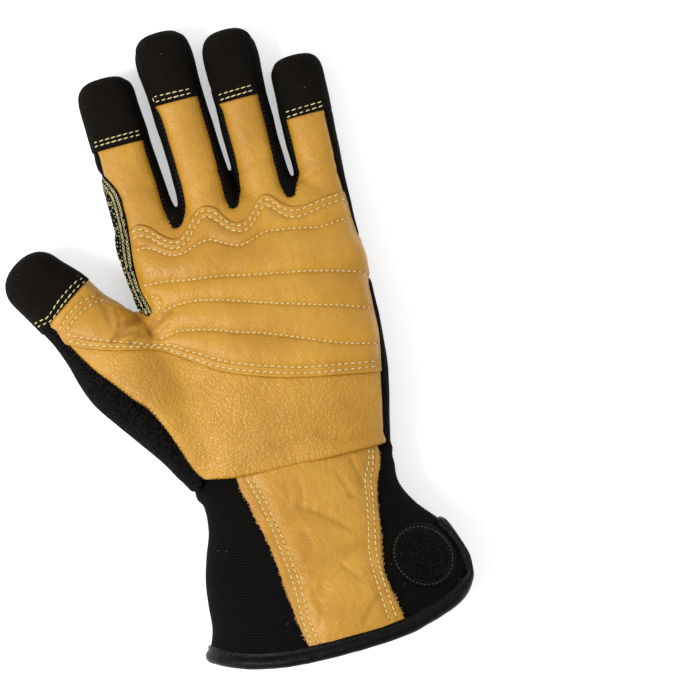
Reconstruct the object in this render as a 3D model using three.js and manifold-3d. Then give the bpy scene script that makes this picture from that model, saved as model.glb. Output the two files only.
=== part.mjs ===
// Left-hand work glove with a padded leather palm, cloth back and flared gauntlet cuff.
// It lies on its back: palm towards +Z, fingers along +Y, thumb towards -X. Millimetres.
// The glove is a hollow skin. It is lofted from sections, then cut into its panels along the seams.
import * as THREE from "three";
import { mergeVertices } from "three/addons/utils/BufferGeometryUtils.js";
import Module from "manifold-3d";

const wasm = await Module();
wasm.setup();

// Thicknesses and clearances
const WALL = 1.6; // cloth or leather with its lining
const GAP = 0.3; // between one panel and the next
const CAP_PROUD = 0.6; // fingertip caps overlap the leather
const PAD_SHEET = 1.2; // leather of the palm overlay
const PAD_RIB = 3.0; // overlay and foam between two quilting seams
const QUILT_MARGIN = 1.4; // a foam rib stops this far from its seams
const EDGE_MARGIN = 3.4; // and this far from the overlay's edge
const BELOW_ROW = 40; // no foam lies within this distance below the overlay's last seam
const PANEL_THICK = 1.3; // leather panel on the cuff
const PATCH_THICK = 1.5; // round hook patch
const BINDING_PROUD = 0.9; // the binding wraps both faces of the cuff cloth
const BINDING_WIDTH = 6.0;
const SMALLEST_DETAIL = 0.05;
const FLATTEN = 1.4; // how much of each section the resting surface presses flat
const INNER_RUN = 8; // the hollows run this far out of their open ends

// Seam heights above the surface that the glove lies on
const PALM_SEAM_Z = 11; // leather wraps no lower than this
const BACK_SEAM_Z = 4; // the finger side strips end at this height
const SKY = 80; // above everything
const CELLAR = -10; // below everything

// The middle of the glove's outline, which becomes the frame's origin
const CENTRE_X = -19.4;
const CENTRE_Y = 2.8;

// The thumb is lofted along its own axis, turned about this point of the palm
const THUMB_ROOT = { x: -60, y: 5, turn: 32.4 };

// How squarely a section's corners are rounded: 2 is an ellipse
const ROUND = 2.2;
const SQUARE = 2.6;
const VENT_SIDE = 1.7; // the cuff's open side comes to a soft point

// Sections across the hand. Each row is one ring at y, with its four extents.
const HAND = [
  { y: -56, left: -47.6, right: 43.8, low: 0, high: 35.0 },
  { y: -45, left: -49.6, right: 45.2, low: 0, high: 36.5 },
  { y: -30, left: -50.5, right: 48.8, low: 0, high: 37.0 },
  { y: -10, left: -50.5, right: 51.6, low: 0, high: 36.0 },
  { y: 10, left: -49.0, right: 52.6, low: 0, high: 34.0 },
  { y: 30, left: -48.0, right: 52.9, low: 0, high: 31.5 },
  { y: 45, left: -49.4, right: 52.9, low: 0, high: 29.5 },
  { y: 57, left: -50.0, right: 53.3, low: 0, high: 27.5 },
  { y: 63, left: -48.6, right: 53.0, low: 3.5, high: 24.0 },
  { y: 66, left: -45.0, right: 50.0, low: 8, high: 19.0 },
];

const KNUCKLE_Y = 60; // past here the rings close the hand between the fingers

// Fingers: rings from inside the palm to where the tip begins to round
const FINGERS = {
  index: {
    tip: 127.6,
    capLine: 98.6,
    rows: [
      { y: 40, left: -46.5, right: -21.5, low: 1, high: 25.5 },
      { y: 62, left: -48.4, right: -21.3, low: 0, high: 25.5 },
      { y: 75, left: -48.6, right: -22.6, low: 0, high: 25.0 },
      { y: 88, left: -48.9, right: -23.6, low: 0, high: 24.2 },
      { y: 102, left: -49.4, right: -23.8, low: 0, high: 23.2 },
      { y: 116, left: -49.9, right: -24.8, low: 1, high: 22.4 },
    ],
  },
  middle: {
    tip: 142.2,
    capLine: 111,
    rows: [
      { y: 40, left: -19.5, right: 5.5, low: 1, high: 26.5 },
      { y: 62, left: -19.2, right: 5.7, low: 0, high: 26.2 },
      { y: 75, left: -18.6, right: 5.2, low: 0, high: 25.6 },
      { y: 90, left: -18.7, right: 4.8, low: 0, high: 24.8 },
      { y: 108, left: -19.9, right: 4.1, low: 0, high: 23.6 },
      { y: 128, left: -21.2, right: 3.6, low: 1.5, high: 22.2 },
    ],
  },
  ring: {
    tip: 134,
    capLine: 105,
    rows: [
      { y: 40, left: 7.2, right: 31.0, low: 1, high: 26.0 },
      { y: 62, left: 6.6, right: 31.0, low: 0, high: 25.5 },
      { y: 75, left: 7.2, right: 30.6, low: 0, high: 25.0 },
      { y: 88, left: 7.0, right: 30.6, low: 0, high: 24.2 },
      { y: 104, left: 6.9, right: 31.0, low: 0, high: 23.2 },
      { y: 121, left: 6.3, right: 31.2, low: 1.3, high: 22.0 },
    ],
  },
  little: {
    tip: 118.7,
    capLine: 91,
    rows: [
      { y: 40, left: 33.0, right: 51.5, low: 1, high: 23.5 },
      { y: 62, left: 32.3, right: 53.4, low: 0, high: 23.5 },
      { y: 75, left: 32.1, right: 54.4, low: 0, high: 22.8 },
      { y: 90, left: 32.3, right: 55.2, low: 0, high: 21.9 },
      { y: 107, left: 33.0, right: 55.5, low: 1, high: 20.4 },
    ],
  },
};

// Thumb and the ball of the thumb, measured along and across the thumb's own axis
const THUMB = {
  tip: 67.4,
  capLine: 38,
  rows: [
    { y: -50, left: -19.0, right: -3.0, low: 0, high: 33.0 },
    { y: -40, left: -18.5, right: 9.0, low: 0, high: 35.0 },
    { y: -27, left: -19.0, right: 15.0, low: 0, high: 37.0 },
    { y: -14, left: -20.0, right: 18.5, low: 0, high: 37.5 },
    { y: -2, left: -20.3, right: 20.0, low: 0, high: 36.5 },
    { y: 9, left: -18.4, right: 20.6, low: 0, high: 34.5 },
    { y: 19, left: -15.4, right: 20.2, low: 0.5, high: 32.0 },
    { y: 29, left: -13.3, right: 18.2, low: 1, high: 30.0 },
    { y: 41, left: -12.5, right: 17.9, low: 2, high: 28.5 },
    { y: 53, left: -12.0, right: 16.0, low: 3.2, high: 27.8 },
  ],
};

// Cuff. bow is how much further down the arm the middle of a ring lies than its two sides.
const CUFF = [
  { y: -46, left: -42.9, right: 41.2, low: 2.2, high: 33.2, bow: 0 },
  { y: -56, left: -42.9, right: 41.5, low: 2.0, high: 33.6, bow: 0 },
  { y: -62, left: -41.7, right: 41.2, low: 0.3, high: 35.0, bow: 1 },
  { y: -72, left: -43.0, right: 41.8, low: 0, high: 37.5, bow: 2.5 },
  { y: -82, left: -47.0, right: 46.3, low: 0, high: 41.0, bow: 4.5 },
  { y: -92, left: -49.7, right: 54.2, low: 0, high: 44.5, bow: 6.5 },
  { y: -102, left: -51.2, right: 59.4, low: 0, high: 47.5, bow: 8 },
  { y: -113, left: -52.6, right: 61.8, low: 0, high: 49.5, bow: 9.5 },
  { y: -125, left: -57.2, right: 61.4, low: 0, high: 51.0, bow: 11 },
];
const BOW_POWER = 3;

// The cuff's slit on the little-finger side, seen from that side as (y, z)
const VENT = [
  [-89.5, 23.0], [-100, 24.2], [-111, 25.0], [-118, 26.4], [-123, 29.4], [-127, 34.0],
  [-130.5, 39.5], [-134.6, 47], [-150, 52], [-150, -4], [-134.6, 1], [-130.5, 7], [-127, 12],
  [-123, 16.6], [-118, 19.8], [-111, 21.2], [-100, 21.9],
];
const VENT_FROM_X = 36;
const VENT_TO_X = 80;

// Side strips between two fingers, from the crotch upwards: their left and right seams in the palm
const STRIPS = {
  index_middle: [
    { y: 58.4, left: -23.4, right: -21.6 },
    { y: 59.6, left: -24.2, right: -20.0 },
    { y: 62.5, left: -24.7, right: -18.2 },
    { y: 68, left: -25.0, right: -17.2 },
    { y: 80, left: -25.4, right: -16.7 },
    { y: 95, left: -26.2, right: -16.9 },
    { y: 108, left: -26.7, right: -17.4 },
    { y: 122, left: -27.2, right: -18.6 },
    { y: 134, left: -27.2, right: -19.2 },
  ],
  middle_ring: [
    { y: 60.2, left: 2.7, right: 4.3 },
    { y: 61.2, left: 1.9, right: 5.6 },
    { y: 65, left: 1.7, right: 6.9 },
    { y: 71, left: 2.0, right: 8.0 },
    { y: 80, left: 2.1, right: 8.7 },
    { y: 95, left: 1.9, right: 9.0 },
    { y: 108, left: 1.6, right: 9.2 },
    { y: 120, left: 1.3, right: 8.7 },
    { y: 134, left: 0.8, right: 8.7 },
  ],
  ring_little: [
    { y: 58.4, left: 27.8, right: 29.6 },
    { y: 59.6, left: 26.8, right: 30.7 },
    { y: 63, left: 26.1, right: 31.9 },
    { y: 68, left: 26.0, right: 32.6 },
    { y: 80, left: 26.4, right: 33.1 },
    { y: 95, left: 27.2, right: 33.7 },
    { y: 108, left: 27.6, right: 34.6 },
    { y: 126, left: 28.4, right: 35.2 },
  ],
};

// Seams of the palm, as seen from above
const KNIT_SEAM = [
  [-48.0, 88.5], [-44.6, 83.0], [-42.8, 77.5], [-42.8, 66], [-43.8, 55], [-44.7, 46],
  [-44.2, 37], [-41.7, 26.6],
];
const THUMB_SIDE_SEAM = [
  [-85.9, 31.5], [-80.7, 21.2], [-73.9, 10], [-65.5, -0.3], [-59.6, -8], [-53.8, -14.5],
  [-49.5, -23.7], [-45.7, -34.5], [-42.1, -45], [-38.7, -49.7],
];
const OUTER_SEAM = [
  [41.2, -56], [42.5, -45], [45.8, -30], [48.0, -18], [50.4, -8], [51.0, 5], [51.4, 14],
  [54.2, 20], [55.5, 26], [54.0, 31], [51.7, 37], [51.3, 55], [51.9, 75], [52.4, 92],
];
const HEEL_SEAM = [
  [-62, -46.5], [-46.2, -48.2], [-38.7, -50], [-24.8, -52.6], [-6, -53.6], [16, -54.5],
  [42, -54.8], [60, -54.8],
];

// Edges and quilting seams of the palm overlay, from the thumb side to the little-finger side
const OVERLAY_TOP = [
  [-43.2, 62.2], [-38.6, 63.6], [-33, 61], [-28.6, 56.2], [-23.5, 53.6], [-18.6, 56.6],
  [-13.8, 62.4], [-9.8, 64.2], [-5, 62], [0, 55.4], [4.6, 53.4], [9, 55.2], [14.6, 61.4],
  [18, 62.4], [22, 59.2], [27, 54.8], [33.4, 53.2], [42, 54.6], [51.1, 55.2],
];
const QUILT = {
  seam1: [
    [-43.5, 53], [-38, 53.2], [-30, 49], [-22, 47.9], [-12, 50], [-4, 46.2], [4, 43.9],
    [14, 46.5], [28, 44.5], [38, 42.5], [51.2, 43.2],
  ],
  seam2: [[-44.3, 38], [-23, 35], [3, 30.4], [28, 25.4], [41, 22], [54.5, 17]],
  seam3: [[-40, 23.6], [-32, 25.9], [-23, 25.7], [-4, 20.7], [20, 12.8], [37, 7.9], [50.8, 3]],
  seam4: [[-43, 13.6], [-33, 14.9], [-18, 11.5], [1, 5], [24.6, -4.4], [37, -9], [50, -12.7]],
};
const OVERLAY_ROW = [
  [-84, 26.5], [-72.7, 22.6], [-62.7, 18.6], [-50, 14.3], [-38.2, 10.2], [-32.5, 6.5],
  [-26.8, 3.2], [-19.1, -1.6], [-9, -6], [1, -9.6], [13.3, -13.4], [26, -15.9], [48.4, -19.8],
];
const OVERLAY_BOTTOM = [
  [-82.4, 22.0], [-71.9, 17.5], [-59.6, 13.3], [-47.1, 10.4], [-41.1, 7.9], [-35.4, 4.1],
  [-27.9, -1], [-20.3, -6.1], [-8.4, -11.5], [8, -16.8], [24.8, -20.4], [47.2, -24.8],
];
const OVERLAY_RIGHT = [
  [50.0, -9], [50.6, 5], [51.0, 14], [52.0, 20], [52.3, 27], [51.6, 33], [51.2, 42],
];
const OVERLAY_LEFT = [
  [-84.0, 28.6], [-84.9, 31.0], [-77, 38.2], [-70.5, 42.2], [-66.0, 44.0], [-61.8, 38.6],
  [-56, 33.6], [-49.5, 29.2], [-45.4, 26.0], [-42.6, 25.8], [-44.0, 31], [-45.0, 38],
  [-45.3, 46], [-44.4, 55],
];

// Leather panel on the cuff
const CUFF_PANEL = [
  { y: -55.4, left: -24.6, right: 36.2 },
  { y: -62, left: -23.6, right: 35.4 },
  { y: -70, left: -21.8, right: 31.8 },
  { y: -80, left: -19.6, right: 29.6 },
  { y: -90, left: -18.0, right: 28.3 },
  { y: -103, left: -17.0, right: 25.6 },
  { y: -116, left: -15.7, right: 26.2 },
  { y: -140, left: -12.5, right: 29.6 },
];
const PATCH = { x: 45.6, y: -105.6, radius: 14.2, sides: 28, lowest: 30.6 };

const FINGER_SIDES = 14;
const THUMB_SIDES = 18;
const HAND_SIDES = 28;
const CUFF_SIDES = 32;
const TIP_STEPS = [0.35, 0.65, 0.92];
const HEM_STEPS = 24;

// How far the cutting blocks reach past what they cut
const PAST_TIP = 5;
const PAST_SIDE = 0.8;
const THUMB_SPAN = 24; // more than half the thumb's width
const PAST_HEM_Y = -160;
const HEM_REACH = 1.1; // times half the cuff's width

// A closed geometry as a solid that can be cut and joined
function solidOf(geometry) {
  geometry.deleteAttribute("normal");
  geometry.deleteAttribute("uv");
  const merged = mergeVertices(geometry, 1e-4);
  return new wasm.Manifold(
    new wasm.Mesh({
      numProp: 3,
      vertProperties: new Float32Array(merged.attributes.position.array),
      triVerts: new Uint32Array(merged.index.array),
    }),
  );
}

const join = (solids) => solids.reduce((whole, solid) => whole.add(solid));

// A closed tube through rings that all have the same number of points, closed by a fan at each end
function tube(rings) {
  const sides = rings[0].length;
  const centreOf = (ring) =>
    ring.reduce((sum, p) => sum.add(p), new THREE.Vector3()).divideScalar(sides);
  const points = [...rings.flat(), centreOf(rings[0]), centreOf(rings.at(-1))];
  const first = points.length - 2;
  const last = points.length - 1;
  const lastRing = (rings.length - 1) * sides;
  const faces = [];
  for (let k = 0; k < sides; k++) {
    const next = (k + 1) % sides;
    for (let r = 0; r < lastRing; r += sides) {
      faces.push(r + k, r + next, r + sides + next);
      faces.push(r + k, r + sides + next, r + sides + k);
    }
    faces.push(first, next, k);
    faces.push(last, lastRing + k, lastRing + next);
  }
  const closed = (order) => solidOf(new THREE.BufferGeometry().setFromPoints(points).setIndex(order));
  const solid = closed(faces);
  return solid.volume() > 0 ? solid : closed(faces.reverse());
}

const power = (value, exponent) => Math.sign(value) * Math.abs(value) ** exponent;

// One ring of a section, grown by offset all round. It never goes under the resting surface,
// and an inner ring stays a wall above it, so the glove lies flat where it rests.
function ring(row, sides, offset, squareRight, squareLeft = squareRight) {
  const middleX = (row.left + row.right) / 2;
  const middleZ = (row.low + row.high) / 2;
  const halfWidth = (row.right - row.left) / 2 + offset;
  const halfHeight = (row.high - row.low) / 2 + FLATTEN / 2 + offset;
  const floor = Math.max(row.low, 0) + Math.max(0, -offset);
  return Array.from({ length: sides }, (_, k) => {
    const angle = (2 * Math.PI * (k + 0.5)) / sides;
    const square = Math.cos(angle) > 0 ? squareRight : squareLeft;
    const across = power(Math.cos(angle), 2 / square);
    const x = middleX + halfWidth * across;
    const z = middleZ - FLATTEN / 2 + halfHeight * power(Math.sin(angle), 2 / square);
    const bow = (row.bow ?? 0) * (1 - Math.abs(across) ** BOW_POWER);
    return new THREE.Vector3(x, row.y - bow, Math.max(z, floor));
  });
}

// Rings of a digit: its rows, then a rounded tip
function digitRings(digit, sides, offset) {
  const end = digit.rows.at(-1);
  const round = digit.tip - end.y + offset;
  const tipRows = TIP_STEPS.map((step) => {
    const shrink = Math.sqrt(1 - step * step);
    const trim = (end.right - end.left + 2 * offset) * (1 - shrink) / 2;
    const drop = (end.high - end.low + 2 * offset) * (1 - shrink) / 2;
    return {
      y: end.y + step * round,
      left: end.left + trim,
      right: end.right - trim,
      low: end.low + drop,
      high: end.high - drop,
    };
  });
  return [...digit.rows, ...tipRows].map((row) => ring(row, sides, offset, ROUND));
}

const finger = (digit, offset) => tube(digitRings(digit, FINGER_SIDES, offset));

function thumb(offset) {
  const place = new THREE.Matrix4()
    .makeRotationZ(THREE.MathUtils.degToRad(THUMB_ROOT.turn))
    .setPosition(THUMB_ROOT.x, THUMB_ROOT.y, 0);
  return tube(
    digitRings(THUMB, THUMB_SIDES, offset).map((r) => r.map((p) => p.applyMatrix4(place))),
  );
}

// The hand with all its digits, grown by offset. An inner one runs out past the wrist.
function hand(offset) {
  const past = offset < 0 ? INNER_RUN : 0;
  const rows = HAND.map((row, k) => {
    if (k === 0) return { ...row, y: row.y - past };
    return row.y > KNUCKLE_Y ? { ...row, y: row.y + offset } : row;
  });
  return join([
    tube(rows.map((row) => ring(row, HAND_SIDES, offset, SQUARE))),
    ...Object.values(FINGERS).map((digit) => finger(digit, offset)),
    thumb(offset),
  ]);
}

// The cuff, grown by offset. An inner one runs out past both of its ends.
function cuff(offset) {
  const past = offset < 0 ? INNER_RUN : 0;
  const rows = CUFF.map((row, k) => {
    const move = k === 0 ? past : k === CUFF.length - 1 ? -past : 0;
    return { ...row, y: row.y + move };
  });
  return tube(rows.map((row) => ring(row, CUFF_SIDES, offset, VENT_SIDE, ROUND)));
}

// An upright block over an outline, given as [x, y] points
function prism(outline, low = CELLAR, high = SKY) {
  const shape = new THREE.Shape(outline.map(([x, y]) => new THREE.Vector2(x, y)));
  return solidOf(
    new THREE.ExtrudeGeometry(shape, { depth: high - low, bevelEnabled: false }).translate(0, 0, low),
  );
}

// An outline moved outwards by a distance, or inwards by a negative one
function grow(outline, distance) {
  const turn = THREE.ShapeUtils.isClockWise(outline.map(([x, y]) => ({ x, y }))) ? -1 : 1;
  return outline.map(([x, y], k) => {
    const [x0, y0] = outline.at(k - 1);
    const [x1, y1] = outline[(k + 1) % outline.length];
    const before = new THREE.Vector2(y - y0, x0 - x).normalize();
    const after = new THREE.Vector2(y1 - y, x - x1).normalize();
    const corner = before.clone().add(after).normalize();
    const reach = (turn * distance) / Math.max(0.5, corner.dot(after));
    return [x + corner.x * reach, y + corner.y * reach];
  });
}

const outlineOf = (rows) => [
  ...rows.map((row) => [row.left, row.y]),
  ...rows.map((row) => [row.right, row.y]).reverse(),
];

// The largest body of a cut, without the slivers that a cut can leave
const mainBody = (solid) =>
  solid.decompose().reduce((big, one) => (one.volume() > big.volume() ? one : big));

// Cuts the part of a skin over an outline out of it, and leaves a gap round it
function carve(skin, outline, low) {
  return {
    panel: mainBody(skin.intersect(prism(outline, low))),
    rest: skin.subtract(prism(grow(outline, GAP), low - GAP)),
  };
}

const panels = {};

// Hand: hollow skin, open at the wrist along the heel seam
const belowHeel = prism([...HEEL_SEAM, [60, -90], [-62, -90]]);
const handOuter = hand(0);
const handInner = hand(-WALL);
let skin = handOuter.subtract(handInner).subtract(belowHeel);

// Fingertip caps stand a little proud of the skin, over the leather's end
const capSkin = hand(CAP_PROUD).subtract(handInner);
const besideStrips = join(
  Object.values(STRIPS).map((rows) => prism(grow(outlineOf(rows), GAP), BACK_SEAM_Z)),
);
const thumbPoint = (across, along) => {
  const turn = THREE.MathUtils.degToRad(THUMB_ROOT.turn);
  return [
    THUMB_ROOT.x + across * Math.cos(turn) - along * Math.sin(turn),
    THUMB_ROOT.y + across * Math.sin(turn) + along * Math.cos(turn),
  ];
};
const capZones = {
  thumb: [
    thumbPoint(-THUMB_SPAN, THUMB.capLine - 3), thumbPoint(-8, THUMB.capLine - 1),
    thumbPoint(THUMB_SPAN, THUMB.capLine), thumbPoint(THUMB_SPAN, THUMB.tip + PAST_TIP),
    thumbPoint(-THUMB_SPAN, THUMB.tip + PAST_TIP),
  ],
};
for (const [name, digit] of Object.entries(FINGERS)) {
  const left = digit.rows.at(-1).left - PAST_SIDE;
  const right = digit.rows.at(-1).right + PAST_SIDE;
  const far = digit.tip + PAST_TIP;
  capZones[name] = [[left, digit.capLine], [right, digit.capLine], [right, far], [left, far]];
}
for (const [name, outline] of Object.entries(capZones)) {
  const node = name === "thumb" ? "thumb_tip" : `fingertip_${name}`;
  const cap = capSkin.intersect(prism(outline, PALM_SEAM_Z)).subtract(besideStrips);
  panels[node] = mainBody(cap);
}

// Black strips between neighbouring fingers
const capGaps = join(
  Object.values(capZones).map((outline) => prism(grow(outline, GAP), PALM_SEAM_Z - GAP)),
);
for (const [name, rows] of Object.entries(STRIPS)) {
  const { panel, rest } = carve(skin, outlineOf(rows), BACK_SEAM_Z);
  panels[`finger_strip_${name}`] = panel;
  skin = rest;
}
skin = skin.subtract(capGaps);

// Knit panel from the index finger into the thumb crotch
const knitOutline = [...KNIT_SEAM, [-43.6, 24.6], [-48.6, 29.4], [-53, 36], [-55, 50], [-55, 88.5]];
({ panel: panels.knit_side, rest: skin } = carve(skin, knitOutline, BACK_SEAM_Z));

// Black panel down the outer side of the thumb
const thumbSideOutline = [...THUMB_SIDE_SEAM, [-50, -60], [-110, -60], [-110, 42], thumbPoint(-8, 37)];
({ panel: panels.thumb_side, rest: skin } = carve(skin, thumbSideOutline, BACK_SEAM_Z));

// Leather palm with the fronts of all digits, and the cloth back that is left over
const palmOutline = [...OUTER_SEAM, [52.6, 150], [-47.6, 150], [-47.6, 88], [-62, 70], [-95, 60],
  [-95, -70], [41.2, -70]];
({ panel: panels.palm_leather, rest: skin } = carve(skin, palmOutline, PALM_SEAM_Z));
panels.hand_back = mainBody(skin);

// Palm overlay: one leather sheet, with foam ribs between its quilting seams
const overlayOutline = [
  ...OVERLAY_TOP, ...OVERLAY_RIGHT.toReversed(), ...OVERLAY_BOTTOM.toReversed(), ...OVERLAY_LEFT,
];
// A groove along a seam: a strip as wide as the margin on both sides of it
const grooveAlong = (seam, below = 0) =>
  prism(
    [
      ...seam.map(([x, y]) => [x, y + QUILT_MARGIN]),
      ...seam.map(([x, y]) => [x, y - QUILT_MARGIN - below]).reverse(),
    ],
    PALM_SEAM_Z,
  );
const beyond = ([x, y], dx, dy) => [x + dx, y + dy];
const grooves = join([
  ...Object.values(QUILT).map((seam) =>
    grooveAlong([beyond(seam[0], -6, 0), ...seam, beyond(seam.at(-1), 6, -1)]),
  ),
  grooveAlong([...OVERLAY_ROW, beyond(OVERLAY_ROW.at(-1), 6, -1.2)], BELOW_ROW),
]);
const foam = hand(GAP + PAD_RIB)
  .intersect(prism(grow(overlayOutline, -EDGE_MARGIN), PALM_SEAM_Z + 5))
  .subtract(grooves);
panels.palm_overlay = mainBody(
  hand(GAP + PAD_SHEET)
    .intersect(prism(overlayOutline, PALM_SEAM_Z + 3))
    .add(foam)
    .subtract(hand(GAP)),
);

// Cuff: ribbed knit sleeve, tucked into the hand at its top and slit on one side
const sideways = new THREE.Matrix4().makeBasis(
  new THREE.Vector3(0, 1, 0), new THREE.Vector3(0, 0, 1), new THREE.Vector3(1, 0, 0),
);
function ventBlock(distance) {
  const shape = new THREE.Shape(grow(VENT, distance).map(([y, z]) => new THREE.Vector2(y, z)));
  const block = new THREE.ExtrudeGeometry(shape, { depth: VENT_TO_X - VENT_FROM_X, bevelEnabled: false });
  return solidOf(block.translate(0, 0, VENT_FROM_X).applyMatrix4(sideways));
}
function hemBlock(width) {
  const hem = CUFF.at(-1);
  const middle = (hem.left + hem.right) / 2;
  const half = (hem.right - hem.left) / 2;
  const top = Array.from({ length: HEM_STEPS + 1 }, (_, k) => {
    const across = HEM_REACH * ((2 * k) / HEM_STEPS - 1);
    const bow = hem.bow * (1 - Math.min(1, Math.abs(across)) ** BOW_POWER);
    return [middle + across * half, hem.y - bow + width];
  });
  return prism([...top, [top.at(-1)[0], PAST_HEM_Y], [top[0][0], PAST_HEM_Y]]);
}
const bound = (width) => hemBlock(width).add(ventBlock(width));
const besideBinding = bound(BINDING_WIDTH + GAP);
panels.cuff_knit = mainBody(cuff(0).subtract(cuff(-WALL)).subtract(besideBinding));
panels.cuff_binding = mainBody(
  cuff(BINDING_PROUD)
    .subtract(cuff(-WALL - BINDING_PROUD))
    .intersect(bound(BINDING_WIDTH))
    .subtract(ventBlock(0)),
);
const onCuff = cuff(GAP);
panels.cuff_panel = mainBody(
  cuff(GAP + PANEL_THICK)
    .subtract(onCuff)
    .intersect(prism(outlineOf(CUFF_PANEL), PALM_SEAM_Z))
    .subtract(besideBinding),
);
const patchOutline = Array.from({ length: PATCH.sides }, (_, k) => {
  const angle = (2 * Math.PI * k) / PATCH.sides;
  return [PATCH.x + PATCH.radius * Math.cos(angle), PATCH.y + PATCH.radius * Math.sin(angle)];
});
panels.hook_patch = mainBody(
  cuff(GAP + PATCH_THICK)
    .subtract(onCuff)
    .intersect(prism(patchOutline, PATCH.lowest))
    .subtract(besideBinding),
);

// Finishes
const finish = (color, roughness) => new THREE.MeshStandardMaterial({ color, roughness, metalness: 0 });
const tanLeather = finish("#d6a144", 0.55);
const blackSuede = finish("#191614", 0.95);
const blackCloth = finish("#131211", 0.9);
const heatherKnit = finish("#6f6c56", 0.95);
const ribbedKnit = finish("#100f0e", 0.95);
const blackLeather = finish("#1a1a19", 0.45);
const finishes = {
  palm_leather: tanLeather,
  palm_overlay: tanLeather,
  cuff_panel: tanLeather,
  knit_side: heatherKnit,
  thumb_side: blackSuede,
  hand_back: blackCloth,
  cuff_knit: ribbedKnit,
  hook_patch: blackSuede,
  cuff_binding: blackLeather,
};

// Drops the tiny facets that cutting leaves behind
const settle = (solid) => mainBody(solid.asOriginal().setTolerance(SMALLEST_DETAIL));

function meshOf(name, solid) {
  const { vertProperties, triVerts } = solid.getMesh();
  const geometry = new THREE.BufferGeometry()
    .setAttribute("position", new THREE.BufferAttribute(new Float32Array(vertProperties), 3))
    .setIndex(new THREE.BufferAttribute(new Uint32Array(triVerts), 1));
  geometry.computeVertexNormals();
  const fallback = name.startsWith("finger_strip") ? blackCloth : blackSuede;
  const mesh = new THREE.Mesh(geometry, finishes[name] ?? fallback);
  mesh.name = name;
  return mesh;
}

const glove = new THREE.Group();
glove.name = "glove";
const panelGroup = new THREE.Group();
panelGroup.position.set(-CENTRE_X, -CENTRE_Y, 0);
for (const [name, solid] of Object.entries(panels)) panelGroup.add(meshOf(name, settle(solid)));
glove.add(panelGroup);

export default glove;
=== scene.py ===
# %% [markdown]
# # A padded leather work glove
# A left-hand glove lies on its back with the palm up. The solids from the CAD model give every panel its
# place and size. Here each panel is made again as sewn leather, suede or knit, and rides on the same frame.

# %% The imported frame
import math
import bpy
import numpy as np
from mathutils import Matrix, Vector, noise
from mathutils.bvhtree import BVHTree
from mathutils.kdtree import KDTree


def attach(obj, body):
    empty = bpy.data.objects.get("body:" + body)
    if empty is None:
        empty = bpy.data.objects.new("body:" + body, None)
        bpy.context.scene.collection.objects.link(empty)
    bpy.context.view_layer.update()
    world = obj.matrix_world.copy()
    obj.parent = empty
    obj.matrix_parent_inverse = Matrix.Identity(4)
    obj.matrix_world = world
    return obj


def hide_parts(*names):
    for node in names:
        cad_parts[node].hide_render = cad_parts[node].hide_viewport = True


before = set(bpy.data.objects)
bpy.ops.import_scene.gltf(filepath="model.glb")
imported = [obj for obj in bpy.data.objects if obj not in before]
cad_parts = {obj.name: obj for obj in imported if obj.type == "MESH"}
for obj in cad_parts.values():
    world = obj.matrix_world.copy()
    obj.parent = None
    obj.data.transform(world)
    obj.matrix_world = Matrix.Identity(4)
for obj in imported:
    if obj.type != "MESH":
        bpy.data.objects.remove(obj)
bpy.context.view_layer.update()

MM = 0.001
CENTRE = np.array([-19.4, 2.8, 0.0])  # the pattern's point that is the frame's origin
rng = np.random.default_rng(7)

# %% [markdown]
# ## The pattern
# A glove maker works from a pattern, and so does this script. Its millimetres run from the thumb (-x) to
# the little finger (+x) and from the cuff (-y) to the fingertips (+y), with z out of the palm. Each tube of
# the glove is a short table of cross-sections.

# %% Tables of sections
def table(columns, rows):
    """One array of numbers for each named column."""
    return dict(zip(columns.split(), np.array(rows, float).T))


HAND = table("y left right low high", [
    (-66, -43.4, 41.8, 0, 34.4), (-57, -44, 42.4, 0, 35), (-51, -47.2, 43.6, 0, 35.8),
    (-45, -49.2, 45, 0, 36.5), (-30, -50.5, 48.8, 0, 37), (-10, -50.5, 51.6, 0, 36), (10, -49, 52.6, 0, 34),
    (30, -48, 52.9, 0, 31.5), (45, -49.4, 52.9, 0, 29.5), (57, -50, 53.3, 0, 27.5), (63, -48.6, 53, 3.5, 24),
    (66, -45, 50, 8, 19)])
INDEX = table("y left right low high", [
    (40, -46.5, -21.5, 1, 25.5), (62, -48.4, -21.3, 0, 25.5), (75, -48.6, -22.6, 0, 25),
    (88, -48.9, -23.6, 0, 24.2), (102, -49.6, -23.8, 0, 23.2), (117, -50.3, -24.6, 1, 22.4)])
MIDDLE = table("y left right low high", [
    (40, -19.5, 5.5, 1, 26.5), (62, -19.2, 5.4, 0, 26.2), (75, -18.6, 4.9, 0, 25.6),
    (90, -18.7, 4.1, 0, 24.8), (108, -20, 3.6, 0, 23.6), (128, -21.6, 3.7, 1.5, 22.2)])
RING = table("y left right low high", [
    (40, 7.2, 31, 1, 26), (62, 6.9, 30.4, 0, 25.5), (75, 7.4, 29.7, 0, 25),
    (88, 7.2, 29.3, 0, 24.2), (104, 7, 30, 0, 23.2), (121, 6.7, 31.2, 1.3, 22)])
LITTLE = table("y left right low high", [
    (40, 33, 51.5, 1, 23.5), (62, 32.8, 53.4, 0, 23.5), (75, 32.9, 54.4, 0, 22.8),
    (90, 32.5, 55.4, 0, 21.9), (107, 33.3, 56.5, 1, 20.4)])
THUMB = table("y left right low high", [
    (-50, -19, -3, 0, 33), (-40, -18.5, 9, 0, 35), (-27, -19, 15, 0, 37), (-14, -20, 18.5, 0, 37.5),
    (-2, -20.3, 20, 0, 36.5), (9, -18.4, 20.6, 0, 34.5), (19, -15.4, 20.2, 0.5, 32),
    (29, -13.3, 18.2, 1, 30), (41, -12.5, 17.9, 2, 28.5), (53, -12.4, 15.8, 3.2, 27.8)])
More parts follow.
